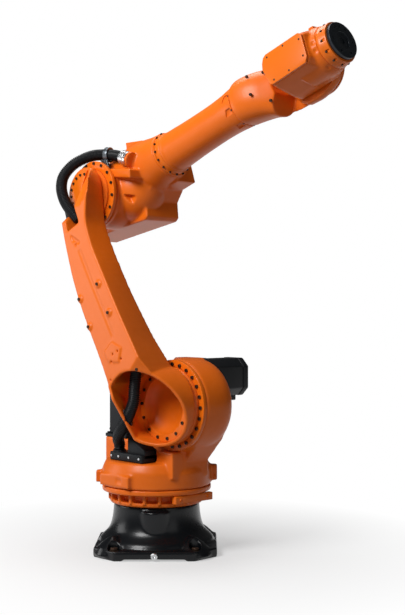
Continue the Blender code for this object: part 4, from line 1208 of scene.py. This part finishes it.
    def hose_fittings(self) -> None:
        """The bright ribbed connector in the housing and the clamp on the hose."""
        inward = self.frame_on_hose()
        profile = [(0.0240, 0.0014), (0.0285, 0.0014)]
        for rib in range(5):
            low = 0.0022 + rib * 0.0050
            profile += [(0.0288, low), (0.0288, low + 0.0030), (0.0262, low + 0.0036),
                        (0.0262, low + 0.0046)]
        profile += [(0.0288, 0.0285), (0.0288, 0.0400), (0.020, 0.0400)]
        connector = place(crisp(turned("connector", profile, Along.X, segments=64), 0.0005), inward)
        present(joined("hose_fitting", [connector]), "arm", ZINC, ["hose_connector"], self.rig.arm)
        to_arm = self.rig.arm.inverted()
        middle, towards = to_arm @ Vector(self.clamp_spot), to_arm @ Vector(self.clamp_towards)
        turn = pointing(middle, towards - middle)
        band = place(crisp(hoop("band", 0.0245, 0.0296, -0.008, 0.008, Along.X, segments=64), 0.0008), turn)
        lips = [place(crisp(hoop("lip", 0.0245, 0.0304, low, low + 0.0025, Along.X, segments=64), 0.0006),
                      turn) for low in (-0.009, 0.0065)]
        bracket = ((-0.024, -0.016), (0.014, -0.028), (0.017, -0.066), (0.003, -0.060))
        corners = [(middle.x + x, middle.z + z) for x, z in bracket]
        foot = crisp(prism("foot", corners, middle.y - 0.0290, middle.y - 0.0200, Along.Y), 0.0012)
        screws = ((-0.008, -0.024), (0.005, -0.030), (0.0085, -0.055))
        heads = spread(cap_screw(0.0042, 0.0040), [facing((middle.x + x, middle.y - 0.0289, middle.z + z),
                                                          (0, -1, 0)) for x, z in screws])
        present(joined("hose_band", [band, foot, *lips, *heads]), "arm", GREY_STEEL, ["hose_clamp"],
                self.rig.arm)


# ------------------------------------------------------------------------------------ forearm
@dataclass(frozen=True)
class Forearm:
    """The waisted forearm tube and the one-sided wrist body that it carries."""

    rig: Rig
    reach: float = 1.035
    cheek_face: float = 0.0435
    swing_radius: float = 0.139
    nose_depth: float = 0.0830
    screw_angles: tuple = (200, 160, 250, 110, 20, 340, 70, 290)
    stations: tuple = ((0.735, 0.000, 0.000, 0.0800, 0.0800), (0.760, 0.002, 0.003, 0.0840, 0.0860),
                       (0.800, 0.010, 0.000, 0.0850, 0.0885), (0.840, 0.020, -0.006, 0.0800, 0.0900),
                       (0.880, 0.034, -0.016, 0.0700, 0.0940), (0.930, 0.050, -0.010, 0.0560, 0.1000),
                       (0.980, 0.058, -0.003, 0.0470, 0.1070), (1.035, 0.060, 0.000, 0.0450, 0.1120),
                       (1.090, 0.060, 0.000, 0.0440, 0.0970), (1.125, 0.060, 0.000, 0.0420, 0.0660),
                       (1.141, 0.060, 0.000, 0.0380, 0.0280))

    def build(self) -> None:
        """Build and hang every piece of the forearm."""
        self.tube()
        self.wrist_body()
        self.cover()

    @staticmethod
    def oval(distance: float, centre_y: float, centre_z: float, half_width: float,
             half_height: float) -> list[Triple]:
        """A slightly squared oval across the forearm."""
        points = []
        for number in range(48):
            angle = 2 * math.pi * number / 48
            across = math.copysign(abs(math.cos(angle)) ** 0.85, math.cos(angle))
            upward = math.copysign(abs(math.sin(angle)) ** 0.85, math.sin(angle))
            points.append((distance, centre_y + half_width * across, centre_z + half_height * upward))
        return points

    def tube(self) -> None:
        """The waisted tube between the axis 4 seam and the wrist body."""
        outer = flowing([(0.0786, 0.3420), (0.0768, 0.385), (0.0740, 0.450), (0.0722, 0.530),
                         (0.0720, 0.600), (0.0745, 0.665), (0.0782, 0.700), (0.0800, 0.720),
                         (0.0800, 0.7344)], 4)
        profile = [(0.0600, 0.3332), (0.0800, 0.3332), (0.0800, 0.3400), *outer, (0.0600, 0.7344),
                   (0.0600, 0.3332)]
        tube = turned("tube", profile, Along.X, segments=128)
        turns = [rotated(angle - 90, "X") for angle in self.screw_angles]
        notch = [(0.694, -0.012), (0.728, -0.012), (0.728, 0.012), (0.706, 0.012)]
        pockets = [place(prism("pocket", notch, 0.0745, 0.10), turn) for turn in turns]
        cut_away(tube, joined("pockets", pockets))
        heads = spread(cap_screw(0.0048, 0.006),
                       [turn @ facing((0.7340, 0.0, 0.0768), (-1, 0, 0)) for turn in turns])
        present_screwed("forearm_shell", [crisp(tube, 0.0010, 2, 40)], heads, "forearm", CAST_ORANGE,
                        ["forearm_tube"], self.rig.forearm)

    def wrist_body(self) -> None:
        """The wrist body: one cheek beside the wrist housing, cut back where the housing swings."""
        centre = self.reach
        cores = [extruded("body", [self.oval(*station) for station in flowing(self.stations, 3)])]
        side_reach = ((0.150, 0.066), (0.168, 0.104), (0.185, 0.150))
        arc = [polar(self.swing_radius, 165 + 30 * step / 12) for step in range(13)]
        back = [(-x, z) for x, z in reversed(side_reach)] + arc + [(-x, -z) for x, z in side_reach]
        swing = [(centre + x, z) for x, z in back] + [(centre + 0.30, -0.30), (centre + 0.30, 0.30)]
        cutters = [prism("swing_room", swing, -0.30, self.cheek_face, Along.Y)]
        for side in (1, -1):
            inner = [polar(0.1240, 100 + 66 * step / 12) for step in range(13)]
            outline = [(-0.185, 0.150), (-0.168, 0.104), (-0.150, 0.066),
                       polar(self.swing_radius, 165)] + inner[::-1]
            notch = [(centre + x, side * z) for x, z in outline + [(-0.020, 0.180)]]
            cutters.append(prism("nose_room", notch, -0.30, self.nose_depth, Along.Y))
        cutters.append(block("far_face", (0.50, 0.1050, -0.30), (1.30, 0.30, 0.30)))
        for x, y, z in ((0.824, -0.062, 0.060), (0.833, -0.080, -0.016)):
            cutters.append(disc("screw_seat", 0.0085, y - 0.05, y + 0.012, Along.Y, (x, 0, z), 24))
        screws = ((0.824, -0.0545, 0.060), (0.833, -0.0690, -0.016), (0.880, -0.0300, 0.052),
                  (0.885, -0.0330, -0.060))
        # The cheek screw heads are dark with painted shade for the shadow in their counterbores.
        heads = spread(cap_screw(0.0055, 0.0060), [facing(spot, (0, -1, 0)) for spot in screws])
        present(joined("wrist_casting_heads", heads), "forearm", DARK_STEEL_AND_SCREW_SHADE, (), self.rig.forearm)
        present(cast("wrist_casting", cores, cutters, 0.0034, 3), "forearm", CAST_ORANGE, ["wrist_body"],
                self.rig.forearm)

    def cover(self) -> None:
        """The screwed cover on the far side of axis 5."""
        centre = (self.reach, 0, 0)
        lid = turned("lid", [(0.088, 0.1053), (0.088, 0.1115), (0.0865, 0.1130), (0.062, 0.1130),
                             (0.058, 0.1105)], Along.Y, centre)
        heads = spread(cap_screw(0.0048, 0.0035), on_circle(8, 0.0790, 0.1129, Along.Y, centre))
        present_screwed("wrist_cover", [crisp(lid, 0.001)], heads, "forearm", COVER_ORANGE,
                        ["wrist_side_cover"], self.rig.forearm)


# ------------------------------------------------------------------------------------ wrist
@dataclass(frozen=True)
class Wrist:
    """The wrist housing with its six-sided cover, nose ring and tool flange."""

    rig: Rig
    outline: tuple = ((-0.078, 0.053), (-0.088, 0.036), (-0.093, 0.015), (-0.075, -0.045),
                      (-0.070, -0.051), (-0.060, -0.054), (0.095, -0.054), (0.107, -0.036), (0.107, 0.046),
                      (0.094, 0.058), (-0.064, 0.060))
    flange_face: float = 0.185
    flange_radius: float = 0.0669
    hole_circle: float = 0.050
    recess_radius: float = 0.0315

    def build(self) -> None:
        """Build and hang every piece of the wrist."""
        self.casting()
        self.cover()
        self.nose_ring()
        self.flange()

    def section(self, factor_x: float, factor_z: float, depth: float) -> list[Triple]:
        """The cover's outline, swollen, at a depth across the wrist."""
        return [(x * factor_x, depth, z * factor_z) for x, z in self.outline]

    def casting(self) -> None:
        """The wrist housing casting, from the cover's seat to the nose."""
        body = extruded("body", [self.section(1.0, 1.0, -0.1015), self.section(1.08, 1.22, -0.060),
                                 self.section(1.12, 1.50, 0.000), self.section(1.10, 1.62, 0.0405)])
        nose = turned("nose", [(0.088, 0.020), (0.088, 0.105), (0.0860, 0.116), (0.0790, 0.1343)], Along.X)
        tab = block("tab", (0.070, -0.016, 0.080), (0.092, 0.016, 0.104))
        cutters = [block("far_face", (-0.3, 0.0405, -0.3), (0.1250, 0.3, 0.3)),
                   disc("gear_pocket", 0.0753, 0.0055, 0.200, Along.Y)]
        for angle in (-35, -15, 35):
            pocket = block("pocket", (0.118, -0.009, 0.079), (0.140, 0.009, 0.10))
            cutters.append(place(pocket, rotated(angle + 120, "X")))
        present(cast("wrist_housing_casting", [body, nose, tab], cutters, 0.0032, 4), "wrist", CAST_ORANGE,
                ["wrist_housing"], self.rig.wrist)

    def cover(self) -> None:
        """The flat six-sided cover plate with its countersunk screws."""
        outline = [(x * 0.985, z * 0.985) for x, z in self.outline]
        plate = crisp(prism("plate", outline, -0.1100, -0.1018, Along.Y), 0.0016)
        spots = [(0.092, 0.034), (0.092, -0.026), (-0.052, -0.041), (-0.058, 0.046), (0.020, 0.049),
                 (0.020, -0.043)]
        heads = spread(cap_screw(0.0036, 0.0012), [facing((x, -0.1098, z), (0, -1, 0)) for x, z in spots])
        present_screwed("wrist_cover_plate", [plate], heads, "wrist", COVER_ORANGE, ["wrist_hex_cover"],
                        self.rig.wrist)

    def nose_ring(self) -> None:
        """The nose ring with its pockets and screws."""
        section = [(0.0400, 0.1348), (0.0785, 0.1348), (0.0770, 0.1480), (0.0755, 0.1500),
                   (0.0750, 0.1680), (0.0735, 0.1718), (0.0400, 0.1718), (0.0400, 0.1348)]
        ring = turned("ring", section, Along.X, segments=128)
        pockets = [place(disc("pocket", 0.0052, 0.1505, 0.1665, Along.X, (0, 0, 0.0772), 16),
                         rotated(30 * number, "X")) for number in range(12)]
        cut_away(ring, joined("pockets", pockets))
        heads = spread(cap_screw(0.0036, 0.0055), [
            rotated(30 * number, "X") @ facing((0.1508, 0.0, 0.0752), (1, 0, 0))
            for number in range(12)])
        present_screwed("nose_collar", [crisp(ring, 0.0008, 2, 40)], heads, "wrist", COVER_ORANGE,
                        ["wrist_nose_ring"], self.rig.wrist)

    def flange(self) -> None:
        """The round tool flange with its screw holes, dowel hole and centring recess."""
        face = self.flange_face
        rim, recess = self.flange_radius, self.recess_radius
        profile = [(rim, 0.1724), (rim, face - 0.0015), (rim - 0.0014, face), (recess + 0.0005, face),
                   (recess, face - 0.0005), (recess, face - 0.006), (0.0125, face - 0.006),
                   (0.0125, face - 0.010)]
        plate = turned("plate", profile, Along.X, segments=128)
        spot = (0, 0, self.hole_circle)
        holes = [place(disc("hole", 0.0042, face - 0.009, face + 0.01, Along.X, spot, 24),
                       rotated(30 + 60 * number, "X")) for number in range(6)]
        holes.append(disc("dowel", 0.0040, face - 0.008, face + 0.01, Along.X, spot, 24))
        cut_away(plate, joined("holes", holes))
        present(crisp(joined("tool_plate", [plate]), 0.0005, 2, 40), "flange", BLACK_OXIDE,
                ["tool_flange"], self.rig.wrist)


# ------------------------------------------------------------------------------------ hoses
@dataclass(frozen=True)
class Hose:
    """A corrugated cable hose held between two bodies."""

    name: str
    node: str
    knots: tuple
    bodies: tuple[str, str]
    radius: float = 0.0222
    root: float = 0.0196
    pitch: float = 0.0068
    sides: int = 28

    def build(self) -> None:
        """Build the ribbed tube along its route."""
        route = self.even_route()
        rings = []
        count = len(route) - 1
        for number, (spot, forward) in enumerate(route):
            phase = number % 4
            size = self.radius if phase in (1, 2) else self.root
            if number in (0, count):
                size = self.root
            rings.append((spot, forward, size))
        piece = self.sweep(rings)
        select_only(piece)
        bpy.ops.object.shade_smooth_by_angle(angle=math.radians(75))
        piece.data.materials.append(HOSE_BLACK.material())
        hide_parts(self.node)
        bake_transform(piece)
        log.info("%s between %s and %s, %d faces", self.name, *self.bodies, len(piece.data.polygons))

    def even_route(self) -> list[tuple[Vector, Vector]]:
        """Points a quarter pitch apart along a smooth curve, each with its direction."""
        dense = [Vector(p) for p in flowing(self.knots, 24)]
        lengths = [0.0]
        for before, after in zip(dense, dense[1:]):
            lengths.append(lengths[-1] + (after - before).length)
        count = max(8, 4 * round(lengths[-1] / self.pitch))
        route, place_at = [], 0
        for number in range(count + 1):
            goal = lengths[-1] * number / count
            while place_at < len(lengths) - 2 and lengths[place_at + 1] < goal:
                place_at += 1
            gap = max(lengths[place_at + 1] - lengths[place_at], 1e-9)
            spot = dense[place_at].lerp(dense[place_at + 1], min(1.0, (goal - lengths[place_at]) / gap))
            ahead = dense[min(place_at + 6, len(dense) - 1)] - dense[max(place_at - 5, 0)]
            route.append((spot, ahead.normalized()))
        return route

    def sweep(self, rings: Sequence[tuple[Vector, Vector, float]]) -> bpy.types.Object:
        """Join round sections along the route into one closed tube."""
        side = rings[0][1].orthogonal().normalized()
        sections = []
        for spot, forward, size in rings:
            side = (side - forward * side.dot(forward)).normalized()
            up = forward.cross(side)
            sections.append([spot + side * a + up * b for a,
                             b in (polar(size, 360 * number / self.sides) for number in range(self.sides))])
        corners = [corner for section in sections for corner in section]
        n = self.sides
        faces = [(row * n + i, row * n + (i + 1) % n, (row + 1) * n + (i + 1) % n, (row + 1) * n + i)
                 for row in range(len(sections) - 1) for i in range(n)]
        faces.append(tuple(reversed(range(n))))
        faces.append(tuple((len(sections) - 1) * n + i for i in range(n)))
        mesh = bpy.data.meshes.new(self.name)
        mesh.from_pydata(corners, [], faces)
        piece = bpy.data.objects.new(self.name, mesh)
        bpy.context.scene.collection.objects.link(piece)
        return face_outwards(piece)


# ------------------------------------------------------------------------------------ studio
@dataclass(frozen=True)
class Lamp:
    """A square soft light: where it stands, what it looks at, its width and its power in watts."""

    name: str
    spot: Triple
    aim: Triple
    size: float
    power: float

    def build(self) -> None:
        """Add the light to the scene."""
        lamp = bpy.data.lights.new(self.name, "AREA")
        lamp.energy = self.power
        lamp.size = self.size
        holder = bpy.data.objects.new(self.name, lamp)
        bpy.context.scene.collection.objects.link(holder)
        holder.location = self.spot
        holder.rotation_euler = (Vector(self.aim) - Vector(self.spot)).to_track_quat("-Z", "Y").to_euler()


@dataclass(frozen=True)
class Studio:
    """Floor, soft lights and camera."""

    lamps: tuple[Lamp, ...] = (Lamp("key", (0.3, -3.2, 3.2), (0.1, 0, 1.0), 1.5, 150.0),
                               Lamp("fill", (3.8, -0.2, 1.4), (0.2, 0, 0.9), 2.0, 9.0),
                               Lamp("left", (-2.6, -2.2, 1.2), (0, 0, 0.8), 1.5, 24.0),
                               Lamp("top", (-0.6, 0.2, 4.0), (0.2, 0, 0.8), 1.6, 50.0))
    floor_radius: float = 14.0
    floor_tone: float = 0.86
    bounced_tone: float = 0.30
    fade_start: float = 0.32
    fade_end: float = 1.25
    white_at_start: float = 0.45
    world_strength: float = 0.07
    camera_spot: Triple = (3.411, -2.930, 0.943)
    camera_turn: float = 47.056
    lens: float = 67.2
    film_height: float = 36.0

    def build(self) -> None:
        """Set up the floor, the world, the camera and the lights: key, fill, one on the left, one above."""
        self.floor()
        for lamp in self.lamps:
            lamp.build()
        self.world()
        self.camera()

    def floor(self) -> None:
        """A pale floor that fades to plain white away from the object."""
        bpy.ops.object.select_all(action="DESELECT")
        bpy.ops.mesh.primitive_circle_add(vertices=96, radius=self.floor_radius, fill_type="NGON",
                                          location=(0, 0, -0.0005))
        floor = bpy.context.active_object
        floor.name = "studio_floor"
        made = bpy.data.materials.new("studio_floor")
        made.use_nodes = True
        tree = made.node_tree
        shader = tree.nodes["Principled BSDF"]
        shader.inputs["Roughness"].default_value = 0.75
        where = add_node(tree, "ShaderNodeTexCoord").outputs["Object"]
        span = add_node(tree, "ShaderNodeVectorMath", {0: where}, operation="LENGTH")
        fade = add_node(tree, "ShaderNodeMapRange", {
            "Value": span.outputs["Value"], "From Min": self.fade_start, "From Max": self.fade_end,
            "To Min": self.white_at_start, "To Max": 1.0})
        rays = add_node(tree, "ShaderNodeLightPath")
        seen = add_node(tree, "ShaderNodeMath", {0: rays.outputs["Is Camera Ray"],
                                                 1: rays.outputs["Is Glossy Ray"]}, operation="ADD",
                        use_clamp=True)
        seen = add_node(tree, "ShaderNodeMath", {0: seen.outputs[0],
                                                 1: rays.outputs["Is Transmission Ray"]}, operation="ADD",
                        use_clamp=True)
        factor = add_node(tree, "ShaderNodeMath", {0: seen.outputs[0], 1: fade.outputs[0]},
                          operation="MULTIPLY")
        tone = Finish.blend(tree, seen.outputs[0], (self.bounced_tone,) * 3, (self.floor_tone,) * 3)
        tree.links.new(tone, shader.inputs["Base Color"])
        glow = add_node(tree, "ShaderNodeEmission", {"Color": (1, 1, 1, 1), "Strength": 1.0})
        mix = add_node(tree, "ShaderNodeMixShader", {0: factor.outputs[0], 1: shader.outputs[0],
                                                     2: glow.outputs[0]})
        tree.links.new(mix.outputs[0], tree.nodes["Material Output"].inputs[0])
        floor.data.materials.append(made)

    def world(self) -> None:
        """A dim even world that shows as plain white to the camera."""
        world = bpy.data.worlds.new("studio_world")
        bpy.context.scene.world = world
        world.use_nodes = True
        tree = world.node_tree
        back = tree.nodes["Background"]
        back.inputs["Color"].default_value = (1, 1, 1, 1)
        rays = add_node(tree, "ShaderNodeLightPath")
        seen = add_node(tree, "ShaderNodeMath", {0: rays.outputs["Is Camera Ray"],
                                                 1: rays.outputs["Is Transmission Ray"]}, operation="ADD",
                        use_clamp=True)
        strength = add_node(tree, "ShaderNodeMapRange",
                            {"Value": seen.outputs[0], "To Min": self.world_strength, "To Max": 1.0})
        tree.links.new(strength.outputs[0], back.inputs["Strength"])

    def camera(self) -> None:
        """The camera, level with the middle of the arm."""
        data = bpy.data.cameras.new("studio_camera")
        data.lens = self.lens
        data.sensor_fit = "VERTICAL"
        data.sensor_height = self.film_height
        data.sensor_width = self.film_height
        data.clip_end = 100.0
        holder = bpy.data.objects.new("studio_camera", data)
        bpy.context.scene.collection.objects.link(holder)
        holder.location = self.camera_spot
        holder.rotation_euler = (math.radians(90), 0, math.radians(self.camera_turn))
        bpy.context.scene.camera = holder


UPPER_ROUTE = ((-0.190, -0.236, 1.284), (-0.211, -0.245, 1.308), (-0.236, -0.252, 1.334),
               (-0.264, -0.255, 1.372), (-0.283, -0.252, 1.417), (-0.287, -0.238, 1.463),
               (-0.270, -0.207, 1.506), (-0.247, -0.174, 1.531), (-0.215, -0.150, 1.544),
               (-0.185, -0.133, 1.546), (-0.150, -0.121, 1.5435), (-0.107, -0.1185, 1.537),
               (-0.066, -0.118, 1.5261))
LOWER_ROUTE = ((-0.0570, -0.1405, 0.3950), (-0.0570, -0.1405, 0.4160), (-0.045, -0.156, 0.434),
               (-0.012, -0.182, 0.456), (0.040, -0.203, 0.492), (0.080, -0.207, 0.540),
               (0.105, -0.205, 0.592), (0.112, -0.205, 0.650), (0.122, -0.205, 0.715))


def dress_inner_nodes(nodes: dict[str, bpy.types.Object]) -> None:
    """Paint the gear units that show between castings; leave the hidden ones and the shafts bare."""
    for name in CAD_INNER_NODES:
        node = nodes[name]
        node.data.materials.clear()
        finish = CAST_ORANGE if name in CAD_GEAR_UNITS_IN_VIEW else MACHINED
        node.data.materials.append(finish.material())
        log.info("%s keeps its CAD shape", name)


def main() -> None:
    """Load the frame, build every sub-assembly, and light it."""
    logging.basicConfig(level=logging.INFO, format="%(name)s: %(message)s")
    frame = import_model()
    bpy.context.scene.view_settings.view_transform = "Standard"
    GROUPS["texture"] = orange_peel_group()
    GROUPS["wear"] = edge_wear_group()
    GROUPS["dust"] = dust_group()
    rig = Rig.read(frame["joints"], base_turn=BASE_TURN)
    for assembly in (Base(rig), AxisOneRing(), Column(), LinkArm(rig), ArmHousing(rig), Forearm(rig),
                     Wrist(rig), Hose("cable_hose_upper", "upper_hose", UPPER_ROUTE, ("link", "arm")),
                     Hose("cable_hose_lower", "lower_hose", LOWER_ROUTE, ("column", "link"))):
        assembly.build()
        log.info("%s done", type(assembly).__name__)
    dress_inner_nodes(frame["nodes"])
    Studio().build()


if __name__ == "__main__":
    main()
